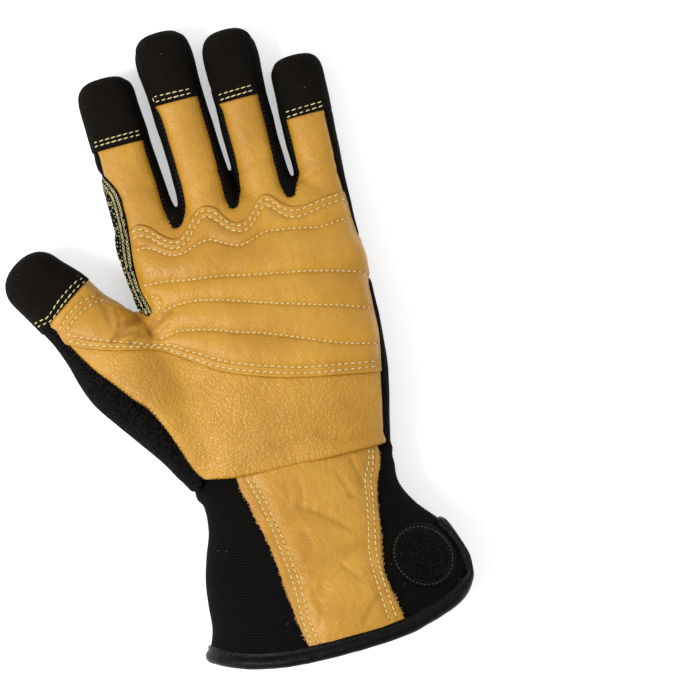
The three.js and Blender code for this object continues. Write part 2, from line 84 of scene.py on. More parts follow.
CUFF = table("y left right low high bow", [
    (-46, -43, 41.2, 2.2, 33.2, 0), (-56, -44.4, 42.9, 1.4, 33.6, 0), (-62, -42.4, 42.2, 0.3, 35, 1),
    (-72, -43, 41.8, 0, 37.5, 2.5), (-82, -47, 46.3, 0, 41, 4.5), (-92, -49.7, 54.2, 0, 44.5, 6.5),
    (-102, -51.2, 59.4, 0, 47.5, 8), (-113, -52.6, 61.8, 0, 49.5, 9.5), (-125, -57.2, 61.4, 0, 51, 11)])
TIP_Y = {"index": 129.2, "middle": 142.2, "ring": 136, "little": 117.8, "thumb": 65.6}
CAP_Y = {"index": 98.6, "middle": 111, "ring": 105, "little": 91, "thumb": 38}
FINGERS = {"index": INDEX, "middle": MIDDLE, "ring": RING, "little": LITTLE}
THUMB_ROOT, THUMB_TURN = np.array([-60.0, 5.0]), math.radians(32.4)
ROUND, SQUARE, VENT_SIDE = 2.2, 2.6, 1.7  # how squarely a section's corners are rounded: 2 is an ellipse
TIP_SQUARE, THUMB_SQUARE = 3, 2.3  # and how squarely a fingertip ends
TIP_CLOSE = 0.97  # the last ring stops just short of the tip
BOW_POWER, FLATTEN = 3, 1.4
print("sections", sum(len(t["y"]) for t in (HAND, THUMB, CUFF, *FINGERS.values())))

# %% [markdown]
# Between two rows of a table the outline runs on a smooth curve, so a few rows are enough. A section is a
# circle with squarer shoulders, pressed flat where it would go below the table top.

# %% Rows and rings between the given ones
def rows_between(sections, step):
    """The table again with rows about step apart, on a smooth curve through the given ones."""
    y = sections["y"]
    n = max(2, int(abs(y[-1] - y[0]) / step) + 1)
    order = np.argsort(y)
    at = np.interp(np.linspace(y[0], y[-1], n), y[order], np.arange(len(y))[order])
    low = np.minimum(at.astype(int), len(y) - 2)
    t = at - low
    out = {}
    for name, v in sections.items():
        slope = np.gradient(v)
        a, b, p, q = v[low], v[low + 1], slope[low], slope[low + 1]
        out[name] = (a * (1 + 2 * t) * (1 - t) ** 2 + b * t * t * (3 - 2 * t)
                     + p * t * (1 - t) ** 2 - q * t * t * (1 - t))
    return out


def rings_of(rows, sides, right_power, left_power=None):
    """Rings of points round each row's outline: an array of rows by sides by xyz."""
    angle = 2 * np.pi * np.arange(sides) / sides
    power = np.where(np.cos(angle) > 0, right_power, left_power or right_power)
    across = np.sign(np.cos(angle)) * np.abs(np.cos(angle)) ** (2 / power)
    up = np.sign(np.sin(angle)) * np.abs(np.sin(angle)) ** (2 / power)
    col = {k: v[:, None] for k, v in rows.items()}
    x = (col["left"] + col["right"]) / 2 + (col["right"] - col["left"]) / 2 * across
    half = (col["high"] - col["low"] + FLATTEN) / 2
    z = (col["low"] + col["high"] - FLATTEN) / 2 + half * up
    bow = col.get("bow", 0) * (1 - np.abs(across) ** BOW_POWER)
    y = col["y"] - bow + 0 * x
    return np.stack([x, y, np.maximum(z, np.maximum(col["low"], 0))], axis=2)


def rounded_tip(rows, tip_y, square=TIP_SQUARE, steps=7):
    """Adds rows that close a finger with a rounded tip."""
    end = {k: v[-1] for k, v in rows.items()}
    t = np.sin(np.linspace(0, np.pi / 2, steps + 1)[1:] * TIP_CLOSE)
    shrink = (1 - (1 - t ** square) ** (1 / square)) / 2
    wide, deep = shrink * (end["right"] - end["left"]), shrink * (end["high"] - end["low"])
    tip = {"y": end["y"] + t * (tip_y - end["y"]), "left": end["left"] + wide, "right": end["right"] - wide,
           "low": end["low"] + deep, "high": end["high"] - deep}
    return {k: np.append(rows[k], tip[k]) for k in tip}


def turn_thumb(points):
    """From the thumb's own frame to the pattern's."""
    x, y = points[..., 0], points[..., 1]
    c, s = math.cos(THUMB_TURN), math.sin(THUMB_TURN)
    return np.stack([THUMB_ROOT[0] + x * c - y * s, THUMB_ROOT[1] + x * s + y * c, points[..., 2]], -1)


print("rings on a finger", len(rows_between(INDEX, 3)["y"]))

# %% [markdown]
# ## The glove's form
# Each tube starts as a circle, extruded once. An array repeats the band, and its points then move to the
# rings. The hand, the fingers and the thumb are joined and remeshed into one skin, which flows together at
# the crotches as cloth does. A little smoothing takes the last hard corners away, and more of it blends the
# ball of the thumb into the palm.

# %% Helpers for objects
def alone(obj=None):
    """Only this object is selected and active."""
    if bpy.context.object and bpy.context.object.mode != "OBJECT":
        bpy.ops.object.mode_set(mode="OBJECT")
    bpy.ops.object.select_all(action="DESELECT")
    if obj:
        obj.select_set(True)
        bpy.context.view_layer.objects.active = obj


def apply_modifier(obj, kind, **settings):
    """Adds a modifier with these settings and applies it."""
    alone(obj)
    modifier = obj.modifiers.new(kind.lower(), kind)
    for key, value in settings.items():
        setattr(modifier, key, value)
    bpy.ops.object.modifier_apply(modifier=modifier.name)


def read(items, field, width):
    """One field of a mesh's points, edges or faces as an array."""
    values = np.empty(len(items) * width, np.float32)
    items.foreach_get(field, values)
    return values.reshape(-1, width).astype(float) if width > 1 else values


def points_of(obj):
    """An object's points in pattern millimetres."""
    return read(obj.data.vertices, "co", 3) / MM + CENTRE


def normals_of(obj):
    return read(obj.data.vertices, "normal", 3)


def move_points(obj, points):
    """Puts an object's points at these pattern millimetres."""
    values = ((points - CENTRE) * MM).astype(np.float32)
    obj.data.vertices.foreach_set("co", values.ravel())
    obj.data.update()


def raise_by(obj, height, floor=-1000):
    """Moves each point along its normal by its height, and no lower than the floor."""
    points = points_of(obj) + height[:, None] * normals_of(obj)
    move_points(obj, np.maximum(points, [-1000, -1000, floor]))


def rest_on_table(obj):
    """Lifts points from below the table top up to it."""
    move_points(obj, np.maximum(points_of(obj), [-1000, -1000, 0]))


def smooth_where(obj, share, gain, least, passes):
    """Smooths the points whose share is over the least, each by its share times the gain."""
    group = obj.vertex_groups.new(name="smoothed")
    for k in np.flatnonzero(share > least):
        group.add([int(k)], float(min(1, gain * share[k])), "REPLACE")
    apply_modifier(obj, "SMOOTH", factor=0.5, iterations=passes, vertex_group=group.name)
    obj.vertex_groups.clear()


def edit(obj, *steps):
    """Selects all of a mesh in edit mode and runs these operators on it."""
    alone(obj)
    bpy.ops.object.mode_set(mode="EDIT")
    bpy.ops.mesh.select_mode(type="VERT")
    bpy.ops.mesh.select_all(action="SELECT")
    for step in steps:
        step()
    bpy.ops.object.mode_set(mode="OBJECT")


def loft(name, rings, closed=True):
    """A tube through rings of points, each with the same number of them."""
    count, sides = rings.shape[:2]
    alone()
    bpy.ops.mesh.primitive_circle_add(vertices=sides, radius=1)
    tube = bpy.context.object
    tube.name = name
    edit(tube, lambda: bpy.ops.mesh.extrude_region_move(TRANSFORM_OT_translate={"value": (0, 0, 1)}))
    apply_modifier(tube, "ARRAY", count=count - 1, use_relative_offset=False, use_constant_offset=True,
                   constant_offset_displace=(0, 0, 1))
    edit(tube, lambda: bpy.ops.mesh.remove_doubles(threshold=0.001))
    at = read(tube.data.vertices, "co", 3)
    ring = np.rint(at[:, 2]).astype(int)
    turn = np.arctan2(at[:, 1], at[:, 0])
    side = np.rint((turn - turn[0]) / (2 * np.pi) * sides).astype(int) % sides
    move_points(tube, rings[ring, side])
    row = tube.data.attributes.new("row", "FLOAT", "POINT")
    row.data.foreach_set("value", ring.astype(np.float32))
    if closed:
        edit(tube, lambda: bpy.ops.mesh.fill_holes(sides=0))
    edit(tube, lambda: bpy.ops.mesh.normals_make_consistent(inside=False))
    return tube


def copy_of(obj, name):
    """A copy with its own mesh."""
    twin = obj.copy()
    twin.data = obj.data.copy()
    twin.name = name
    bpy.context.scene.collection.objects.link(twin)
    return twin


print("helpers ready")

# %% The hand with its digits
FORM_GRID, ROW_STEP = 1.0, 3
HAND_SIDES, FINGER_SIDES, THUMB_SIDES = 64, 40, 48
BALL_X, BALL_Y, BALL_WIDTH, BALL_FADE, BALL_Z = -42, (-46, 6), 9, 8, 20  # the ball of the thumb
BALL_PASSES = 260
tubes = [loft("hand_tube", rings_of(rows_between(HAND, ROW_STEP), HAND_SIDES, SQUARE))]
for name, sections in FINGERS.items():
    rows = rounded_tip(rows_between(sections, ROW_STEP), TIP_Y[name])
    tubes.append(loft(f"{name}_tube", rings_of(rows, FINGER_SIDES, ROUND)))
rows = rounded_tip(rows_between(THUMB, ROW_STEP), TIP_Y["thumb"], THUMB_SQUARE)
tubes.append(loft("thumb_tube", turn_thumb(rings_of(rows, THUMB_SIDES, ROUND))))
alone(tubes[0])
for tube in tubes:
    tube.select_set(True)
bpy.ops.object.join()
hand_form = bpy.context.object
apply_modifier(hand_form, "REMESH", mode="VOXEL", voxel_size=FORM_GRID * MM)
apply_modifier(hand_form, "SMOOTH", factor=0.5, iterations=10)
points = points_of(hand_form)
past_ball = np.maximum(points[:, 1] - BALL_Y[1], BALL_Y[0] - points[:, 1])
ball = np.exp(-((points[:, 0] - BALL_X) / BALL_WIDTH) ** 2 - np.clip(past_ball / BALL_FADE, 0, None) ** 2)
smooth_where(hand_form, ball * (points[:, 2] > BALL_Z), 1.6, 0.02, BALL_PASSES)
print("hand form", len(hand_form.data.polygons), "faces")

# %% [markdown]
# The cuff is a sleeve on rings that bow down the arm. Its rows are close together, because the ribs of its
# knit are a millimetre apart and each needs a few rows of points.

# %% The cuff
CUFF_ROW_STEP, CUFF_SIDES = 0.275, 130
cuff_rows = rows_between(CUFF, CUFF_ROW_STEP)
cuff_form = loft("cuff_form", rings_of(cuff_rows, CUFF_SIDES, VENT_SIDE, ROUND), closed=False)
print("cuff form", len(cuff_form.data.polygons), "faces")

# %% [markdown]
# ## Cutting a panel
# A panel's outline is drawn in plan, as on the pattern paper. The distance of each point of the form from
# that line is worked out, faces outside it are deleted, and the new edge slides along the surface until it
# lies on the line. This keeps the even faces of the form and gives a clean edge.

# %% Lines and distances in plan
GRID_STEP, REACH = 0.4, 9.0


def smooth_line(points, step=1.0):
    """Points about step apart on a smooth curve through the given ones."""
    p = np.array(points, float)
    q = np.vstack([2 * p[0] - p[1], p, 2 * p[-1] - p[-2]])
    out = []
    for k in range(1, len(q) - 2):
        n = max(2, int(np.linalg.norm(q[k + 1] - q[k]) / step) + 1)
        t = np.linspace(0, 1, n, endpoint=False)[:, None]
        a, b, c, d = q[k - 1:k + 3]
        out.append(0.5 * (2 * b + (c - a) * t + (2 * a - 5 * b + 4 * c - d) * t ** 2
                          + (3 * b - a - 3 * c + d) * t ** 3))
    return np.vstack([*out, p[-1:]])


def look_up(values, low):
    """A function that reads a grid of values between its nodes."""
    last = np.array(values.shape) - 1.001

    def field(p):
        at = np.clip((p[:, :2] - low) / GRID_STEP, 0, last)
        i, j = at.astype(int).T
        u, v = (at - np.stack([i, j], 1)).T
        return ((1 - u) * ((1 - v) * values[i, j] + v * values[i, j + 1])
                + u * ((1 - v) * values[i + 1, j] + v * values[i + 1, j + 1]))
    return field


def distance_grid(lines):
    """A grid of distances in plan to the nearest of some lines, up to REACH, and its corner."""
    low = np.floor(np.min([line.min(0) for line in lines], axis=0)) - REACH
    high = np.max([line.max(0) for line in lines], axis=0) + REACH
    values = np.full(((high - low) / GRID_STEP).astype(int) + 2, REACH)
    for line in lines:
        for a, b in zip(line[:-1], line[1:]):
            first = ((np.minimum(a, b) - REACH - low) / GRID_STEP).astype(int).clip(0)
            last = ((np.maximum(a, b) + REACH - low) / GRID_STEP).astype(int) + 2
            block = values[first[0]:last[0], first[1]:last[1]]
            x = low[0] + GRID_STEP * (first[0] + np.arange(block.shape[0]))[:, None] - a[0]
            y = low[1] + GRID_STEP * (first[1] + np.arange(block.shape[1]))[None, :] - a[1]
            run = b - a
            t = np.clip((x * run[0] + y * run[1]) / max(run @ run, 1e-9), 0, 1)
            np.minimum(block, np.hypot(x - t * run[0], y - t * run[1]), out=block)
    return values, low


def near_lines(lines):
    """The distance in plan to the nearest of some lines, as a function."""
    return look_up(*distance_grid(lines))


def plan_field(outline):
    """Distance to a closed line in plan, positive inside it and negative outside."""
    ring = np.vstack([outline, outline[:1]])
    values, low = distance_grid([ring])
    x = low[0] + GRID_STEP * np.arange(values.shape[0])[:, None]
    y = low[1] + GRID_STEP * np.arange(values.shape[1])[None, :]
    odd = np.zeros(values.shape, bool)
    for (x0, y0), (x1, y1) in zip(ring[:-1], ring[1:]):
        if y0 != y1:
            odd ^= ((y0 > y) != (y1 > y)) & (x < (x1 - x0) * (y - y0) / (y1 - y0) + x0)
    return look_up(np.where(odd, values, -values), low)


square = plan_field(np.array([[0, 0], [20, 0], [20, 20], [0, 20.0]]))
print("a point 1 mm inside a square:", square(np.array([[1.0, 9.0]])))

# %% Cutting along a line
BORDER_STEPS, BORDER_REACH, BORDER_NEAR, BORDER_STRIDE = 5, 1.6, 2.5, 1.0


def surface_of(obj):
    """A search tree over an object's faces, in pattern millimetres."""
    polygons = [tuple(p.vertices) for p in obj.data.polygons]
    return BVHTree.FromPolygons([Vector(p) for p in points_of(obj)], polygons)


def onto(tree, points):
    """The nearest points on a surface, and its normals there."""
    found = [tree.find_nearest(Vector(p)) for p in points]
    return np.array([f[0] for f in found]), np.array([f[1] for f in found])


def step_towards(field, points, normals, reach=0.2):
    """The step along the surface that brings each point to the field's zero line."""
    axes = np.eye(3) * reach
    slope = np.stack([field(points + a) - field(points - a) for a in axes], axis=1) / (2 * reach)
    slope -= (slope * normals).sum(1)[:, None] * normals
    size = np.maximum(np.linalg.norm(slope, axis=1), 0.35)
    return -slope * (field(points) / size ** 2)[:, None]


def read_pairs(obj):
    """The edges of an object, as pairs of points."""
    pairs = np.empty(len(obj.data.edges) * 2, np.int32)
    obj.data.edges.foreach_get("vertices", pairs)
    return pairs.reshape(-1, 2)


def border_of(obj):
    """The open edges of an object, as pairs of points."""
    edges = np.array([p for f in obj.data.polygons for p in f.edge_keys])
    pairs, uses = np.unique(np.sort(edges, axis=1), axis=0, return_counts=True)
    return pairs[uses == 1]


def delete_faces(obj, where):
    """Deletes the faces for which where is true."""
    alone(obj)
    bpy.ops.object.mode_set(mode="EDIT")
    bpy.ops.mesh.select_mode(type="FACE")
    bpy.ops.mesh.select_all(action="DESELECT")
    bpy.ops.object.mode_set(mode="OBJECT")
    obj.data.polygons.foreach_set("select", where)
    bpy.ops.object.mode_set(mode="EDIT")
    bpy.ops.mesh.delete(type="FACE")
    bpy.ops.object.mode_set(mode="OBJECT")


def limited(steps, longest):
    """The steps with none longer than the longest."""
    size = np.maximum(np.linalg.norm(steps, axis=1, keepdims=True), 1e-9)
    return steps * np.minimum(1, longest / size)


def evened(points, pairs, share=0.5):
    """Border points drawn towards the middle of their neighbours."""
    total, count = np.zeros_like(points), np.zeros(len(points))
    for a, b in ((0, 1), (1, 0)):
        np.add.at(total, pairs[:, a], points[pairs[:, b]])
        np.add.at(count, pairs[:, a], 1)
    edge = np.unique(pairs)
    out = points.copy()
    out[edge] = (1 - share) * points[edge] + share * total[edge] / count[edge, None]
    return out


def largest_part(pairs, count):
    """True for the points of the largest connected part of a mesh."""
    label = np.arange(count)
    while True:
        before = label.copy()
        low = np.minimum(label[pairs[:, 0]], label[pairs[:, 1]])
        np.minimum.at(label, pairs[:, 0], low)
        np.minimum.at(label, pairs[:, 1], low)
        label = label[label]
        if (label == before).all():
            return label == np.bincount(label).argmax()


def cut_panel(name, form, tree, field):
    """The largest part of a form where the field is positive, with its edge on the field's line."""
    panel = copy_of(form, name)
    centres = read(panel.data.polygons, "center", 3) / MM + CENTRE
    delete_faces(panel, field(centres) < 0)
    main = largest_part(read_pairs(panel), len(panel.data.vertices))
    first = np.array([polygon.vertices[0] for polygon in panel.data.polygons])
    delete_faces(panel, ~main[first])
    for _ in range(2):  # faces that hang on by one edge would end as spikes
        rim = {tuple(pair) for pair in border_of(panel).tolist()}
        hanging = [sum(key in rim for key in polygon.edge_keys) > 2 for polygon in panel.data.polygons]
        delete_faces(panel, np.array(hanging))
    points = points_of(panel)
    pairs = border_of(panel)
    edge = np.unique(pairs)
    for _ in range(BORDER_STEPS):
        points = evened(points, pairs)
        at, normals = onto(tree, points[edge])
        step = step_towards(field, at, normals) * (np.abs(field(at)) < BORDER_NEAR)[:, None]
        points[edge] = at + limited(step, BORDER_STRIDE)
    start = evened(points_of(panel), pairs)
    far = np.linalg.norm(points - start, axis=1) > BORDER_REACH
    points[far] = start[far]
    for _ in range(4):  # points that slid too far go between their neighbours instead
        points[far] = evened(points, pairs, 1.0)[far]
    for _ in range(2):
        points = evened(points, pairs, 0.4)
    points[edge] = onto(tree, points[edge])[0]
    move_points(panel, points)
    return panel


hand_tree = surface_of(hand_form)
cuff_tree = surface_of(cuff_form)
print("surfaces ready")

# %% [markdown]
# ## The seams
# These lines are the glove's seams in plan. A panel is the part of the form on one side of its seams, so
# two neighbours share a line exactly, as two sewn pieces do.

# %% Seam lines
PALM_SEAM_Z, BACK_SEAM_Z = 11, 4
KNIT_SEAM = [(-48, 88.5), (-44.6, 83), (-42.8, 77.5), (-42.8, 66), (-43.8, 55), (-44.7, 46),
             (-44.2, 37), (-41.7, 26.6)]
THUMB_SIDE_SEAM = [(-85.9, 31.5), (-80.7, 21.2), (-73.9, 10), (-65.5, -0.3), (-59.6, -8),
                   (-53.8, -14.5), (-49.5, -23.7), (-45.7, -34.5), (-42.1, -45), (-38.7, -49.7)]
OUTER_SEAM = [(41.2, -62), (41.4, -55), (42.5, -45), (45.8, -30), (48, -18), (50.4, -8), (51, 5),
              (51.4, 14), (54.2, 20), (55.5, 26), (54, 31), (51.7, 37), (51.3, 55), (51.9, 75), (52.4, 92)]
HEEL_SEAM = [(-62, -48.5), (-49, -51), (-45, -53.4), (-41.8, -53.2), (-38.9, -50.2), (-24.8, -52.6),
             (-6, -53.6), (16, -54.5), (42, -54.8), (60, -54.8)]
STRIPS = {
    "index_middle": table("y left right", [
        (58.4, -23.4, -21.6), (59.6, -24.2, -20), (62.5, -24.7, -18.2), (68, -25, -17.2),
        (80, -25.4, -16.7), (95, -26.1, -16.9), (106, -26.3, -17.3), (111, -26.4, -18.6),
        (118, -26.8, -20.4), (140, -28.5, -20.6)]),
    "middle_ring": table("y left right", [
        (60.2, 2.7, 4.3), (61.2, 1.9, 5.6), (65, 1.7, 6.9), (71, 2, 8), (80, 2.1, 8.7),
        (95, 1.9, 9), (102, 1.8, 8.9), (106, 1.7, 7.9), (114, 1.5, 6.9), (128, 1, 6.4), (140, -0.5, 7)]),
    "ring_little": table("y left right", [
        (58.4, 27.8, 29.6), (59.6, 26.8, 30.7), (63, 26.1, 31.9), (68, 26, 33.4), (80, 26.2, 34.2),
        (87, 26.6, 34.4), (93, 26.7, 34.6), (100, 26.8, 34.2), (108, 27, 34.4), (120, 27.2, 36),
        (130, 27.2, 40)]),
}


THUMB_CAP_LINE = np.array([(-20, 35), (-8, 37), (24, 38)])  # across the thumb and along it
THUMB_CAP_FAR = [(24, 75), (-20, 75)]
THUMB_ZONE = (-53, 75)  # points with less x and less y belong to the thumb
CAP_OVERHANG = (1.5, 1, 6)  # how far a cap's outline runs past its finger: left, right and beyond the tip
FINGER_GAPS = [-21.5, 5.8, 32.2]
LEATHER_UNDER_CAP = 3.0


def strip_outline(rows):
    """Up one side of a strip and down the other."""
    left = smooth_line(np.stack([rows["left"], rows["y"]], 1))
    right = smooth_line(np.stack([rows["right"], rows["y"]], 1))
    return np.vstack([left, right[::-1]])


def thumb_point(across, along):
    return turn_thumb(np.array([across, along, 0.0]))[:2]


heel_line = smooth_line(HEEL_SEAM)
palm_outline = np.vstack([smooth_line(OUTER_SEAM), [(52.6, 150), (-47.6, 150), (-47.6, 88), (-62, 70),
                                                    (-110, 60), (-110, -70), (41.2, -70)]])
knit_outline = np.vstack([smooth_line(KNIT_SEAM), [(-43.6, 24.6), (-48.6, 29.4), (-53, 36), (-55, 50),
                                                   (-55, 88.5)]])
thumb_side_outline = np.vstack([smooth_line(THUMB_SIDE_SEAM), [(-50, -70), (-120, -70), (-120, 42)],
                                [thumb_point(*THUMB_CAP_LINE[1])]])
cap_outlines = {"thumb": np.array([thumb_point(*p) for p in (*THUMB_CAP_LINE, *THUMB_CAP_FAR)])}
for name, sections in FINGERS.items():
    left, right = sections["left"][-1] - CAP_OVERHANG[0], sections["right"][-1] + CAP_OVERHANG[1]
    low, far = CAP_Y[name], TIP_Y[name] + CAP_OVERHANG[2]
    cap_outlines[name] = np.array([(left, low), (right, low), (right, far), (left, far)])
print("seam lines ready")

# %% Fields of the panels
in_palm, in_knit, in_thumb_side = (plan_field(line) for line in
                                   (palm_outline, knit_outline, thumb_side_outline))
in_strip = {name: plan_field(strip_outline(rows)) for name, rows in STRIPS.items()}
in_cap = {name: plan_field(line) for name, line in cap_outlines.items()}


def above_heel(p):
    return p[:, 1] - np.interp(p[:, 0], heel_line[:, 0], heel_line[:, 1])


def above(p, height):
    return p[:, 2] - height


def in_any(fields, p):
    return np.max([field(p) for field in fields.values()], axis=0)


def past_cap_line(p):
    """How far each point lies past its own finger's cap line, along the finger."""
    line = np.array([CAP_Y[name] for name in FINGERS])[np.searchsorted(FINGER_GAPS, p[:, 0])]
    turned = p[:, :2] - THUMB_ROOT
    c, s = math.cos(THUMB_TURN), math.sin(THUMB_TURN)
    across, along = turned[:, 0] * c + turned[:, 1] * s, turned[:, 1] * c - turned[:, 0] * s
    thumb = along - np.interp(across, *THUMB_CAP_LINE.T)
    return np.where((p[:, :2] < THUMB_ZONE).all(1), thumb, p[:, 1] - line)


def strip_field(name):
    return lambda p: np.minimum(in_strip[name](p), above(p, BACK_SEAM_Z))


def knit_field(p):
    return np.minimum(in_knit(p), above(p, BACK_SEAM_Z))


def thumb_side_field(p):
    return np.min([in_thumb_side(p), above(p, BACK_SEAM_Z), above_heel(p)], axis=0)


def cap_field(name):
    return lambda p: np.min([in_cap[name](p), above(p, PALM_SEAM_Z),
                             -np.minimum(in_any(in_strip, p), above(p, BACK_SEAM_Z))], axis=0)


def front_field(p):
    """The whole front that is leather or caps."""
    return np.min([in_palm(p), above(p, PALM_SEAM_Z), -in_any(in_strip, p), -in_knit(p), -in_thumb_side(p),
                   above_heel(p)], axis=0)


def palm_field(p):
    return np.minimum(front_field(p), LEATHER_UNDER_CAP - past_cap_line(p))


def back_field(p):
    """What no other panel of the hand covers."""
    sides = np.max([in_any(in_strip, p), in_knit(p), in_thumb_side(p)], axis=0)
    low_sides = np.minimum(sides, above(p, BACK_SEAM_Z))
    front = np.minimum(np.maximum(in_palm(p), in_any(in_cap, p)), above(p, PALM_SEAM_Z))
    return np.minimum(-np.maximum(low_sides, front), above_heel(p))


print("fields ready")

# %% Cut the hand's panels
panels = {
    "palm_leather": cut_panel("palm_leather_skin", hand_form, hand_tree, palm_field),
    "hand_back": cut_panel("hand_back_cloth", hand_form, hand_tree, back_field),
    "knit_side": cut_panel("knit_side_base", hand_form, hand_tree, knit_field),
    "thumb_side": cut_panel("thumb_side_cloth", hand_form, hand_tree, thumb_side_field),
}
for name in STRIPS:
    panels[f"finger_strip_{name}"] = cut_panel(f"strip_{name}", hand_form, hand_tree, strip_field(name))
for name in cap_outlines:
    node = "thumb_tip" if name == "thumb" else f"fingertip_{name}"
    panels[node] = cut_panel(f"cap_{name}", hand_form, hand_tree, cap_field(name))
print({name: len(panel.data.polygons) for name, panel in panels.items()})

# %% [markdown]
# ## Shaping the panels
# A turned seam pulls both of its panels in, so the surface dips towards every sewn edge. A cap lies on the
# leather instead, and its open edge stands up by the thickness of the suede. The heel of the leather is
# folded under, and the hand's creases are short strokes pressed into it.

# %% Relief of seams and creases
SEAM_DIP, CAP_DIP, SEAM_REACH = 0.9, 0.3, 1.7
STRIP_FULL, STRIP_REACH, STRIP_FADE = 0.6, 1.8, 12
CAP_RISE, CAP_SINK, CAP_SETTLE, CAP_EDGE, THUMB_CAP_PINCH = 0.4, 0.55, 14, 1.2, 0.4
HEEL_ROLL, HEEL_DROP, HEEL_LIFT, HEEL_REACH = 1.6, 1.6, 0.5, 9
CREASES = [  # each stroke: its width and depth, then the points it runs through
    (1.5, 1.0, (-58.2, 20.8), (-52.1, 23.4), (-46.5, 24.2)),
    (1.0, 0.7, (-56.7, 24.4), (-50.2, 25.4), (-44.9, 25)),
    (1.4, 1.0, (-60.7, 18.4), (-54.6, 19.8), (-48.7, 19)),
    (1.5, 0.7, (-44.1, 24.7), (-42.9, 22.1), (-44.7, 19.5), (-44.5, 14.8)),
    (1.1, 0.8, (-54.1, 15.9), (-49.3, 16.9), (-45.3, 17.4)),
    (1.6, 1.0, (-43.5, 18.6), (-39.1, 21.8), (-34.4, 23.8)),
    (1.2, 0.4, (-59.9, 34.3), (-59.8, 28.9), (-60.3, 24.4)),
    (1.3, 0.4, (-62.5, 37), (-61.3, 32.9), (-60.8, 28.5)),
    (1.0, 0.6, (-43.4, 16.1), (-40.1, 16.7), (-36.7, 18.1)),
    (1.0, 0.4, (-56.4, 30.3), (-55.9, 26.3), (-57.1, 23)),
    (2.2, 0.5, (-5.2, -43), (3.4, -43.8), (13.8, -43.6), (27.2, -48.7), (42, -50.2)),
    (1.4, 0.35, (14, -42.5), (19.9, -47.8), (34.1, -50)),
    (1.6, 0.3, (-12, 76), (-4, 78), (1, 77)), (1.5, 0.25, (9, 74), (17, 76.5), (25, 75)),
    (1.7, 0.3, (33, 68), (41, 70.5), (50, 69)), (1.5, 0.25, (34, 64), (42, 66), (51, 64)),
    (1.6, 0.25, (-42, 76), (-35, 78.5), (-27, 77)),
]
near_thumb_crease = near_lines([smooth_line([(-99, 47.4), (-94.8, 43.2), (-87.2, 36.7)])])


def stroke_fields(strokes):
    """The width and the depth of each stroke, and a field of the distance to it."""
    return [(width, depth, near_lines([smooth_line(points)])) for width, depth, *points in strokes]


def pressed_by(strokes, points):
    """How deep the strokes press at each point."""
    return sum(depth * np.exp(-(field(points) / width) ** 2) for width, depth, field in strokes)


crease_fields = stroke_fields(CREASES)


def rough(points, size, seed=0.0, stretch=(1, 1, 1)):
    """Smooth noise between -1 and 1 with features of this size."""
    at = points / (np.array(stretch) * size) + seed
    return np.array([noise.noise(Vector(p)) for p in at])


def gap_to(points, marks):
    """Distance of each point to the nearest mark."""
    tree = KDTree(len(marks))
    for k, mark in enumerate(marks):
        tree.insert(mark, k)
    tree.balance()
    return np.array([tree.find(p)[2] for p in points])


def shade(obj, values):
    """Keeps a value between 0 and 1 at each point, for the material to read: painted shade on the leathers
    and the sleeve, and the tone of yarn and hooks.
    """
    attribute = obj.data.attributes.new("shade", "FLOAT", "POINT")
    attribute.data.foreach_set("value", np.clip(values, 0, 1).astype(np.float32))


def relief(node, panel):
    """The height of a panel above the form, from its seams, its free edges and its creases."""
    points = points_of(panel)
    edge = points[np.unique(border_of(panel))]
    is_cap = "tip" in node
    free = np.abs(above_heel(edge)) < 0.6
    if is_cap:
        free |= np.abs(past_cap_line(edge)) < 0.4
    if node == "palm_leather":
        free |= past_cap_line(edge) > 1
    gap = gap_to(points, edge[~free])
    past = past_cap_line(points)
    beside_cap = np.clip(past / 4 + 0.5, 0, 1)
    height = -(SEAM_DIP + (CAP_DIP - SEAM_DIP) * beside_cap) * np.exp(-(gap / SEAM_REACH) ** 2)
    if is_cap:
        height += CAP_RISE * np.exp(-(past / CAP_SETTLE) ** 2) * (1 - np.exp(-(gap / CAP_EDGE) ** 2))
        height -= THUMB_CAP_PINCH * np.exp(-(near_thumb_crease(points) / 0.6) ** 2) * ("thumb" in node)
    if node == "palm_leather":
        creases = pressed_by(crease_fields, points)
        height -= creases + CAP_SINK * np.clip((past + 0.4) / 0.8, 0, 1)
        height += 0.35 * rough(points, 14) + 0.12 * rough(points, 4.5, 3)
        roll = np.clip(1 - above_heel(points) / HEEL_ROLL, 0, 1)
        height += HEEL_LIFT - HEEL_DROP * (1 - np.sqrt(np.maximum(1 - roll ** 2, 0)))
        height -= HEEL_LIFT * np.clip(above_heel(points) / HEEL_REACH, 0, 1)
        # painted shade: the leather is stored darker along its creases, less so on the heel
        shade(panel, creases * 0.4 * (1 - 0.6 * (points[:, 1] < -20)))
    if "strip" in node:
        height += STRIP_FULL * (1 - np.exp(-(gap / STRIP_REACH) ** 2)) * np.clip(-past / STRIP_FADE, 0, 1)
    if node in ("hand_back", "thumb_side") or "strip" in node:
        height += 0.25 * rough(points, 11, 8)
    return height


for node, panel in panels.items():
    raise_by(panel, relief(node, panel))
    print(node, "shaped")

# %% [markdown]
# ## The padded overlay
# A second layer of leather is quilted to the palm over foam. Its outline follows the knuckles at the top
# and the ball of the thumb below. Between the rows of stitching the foam pushes the leather up into soft
# ribs, and every row pulls it down again into a groove, with small puckers across it.

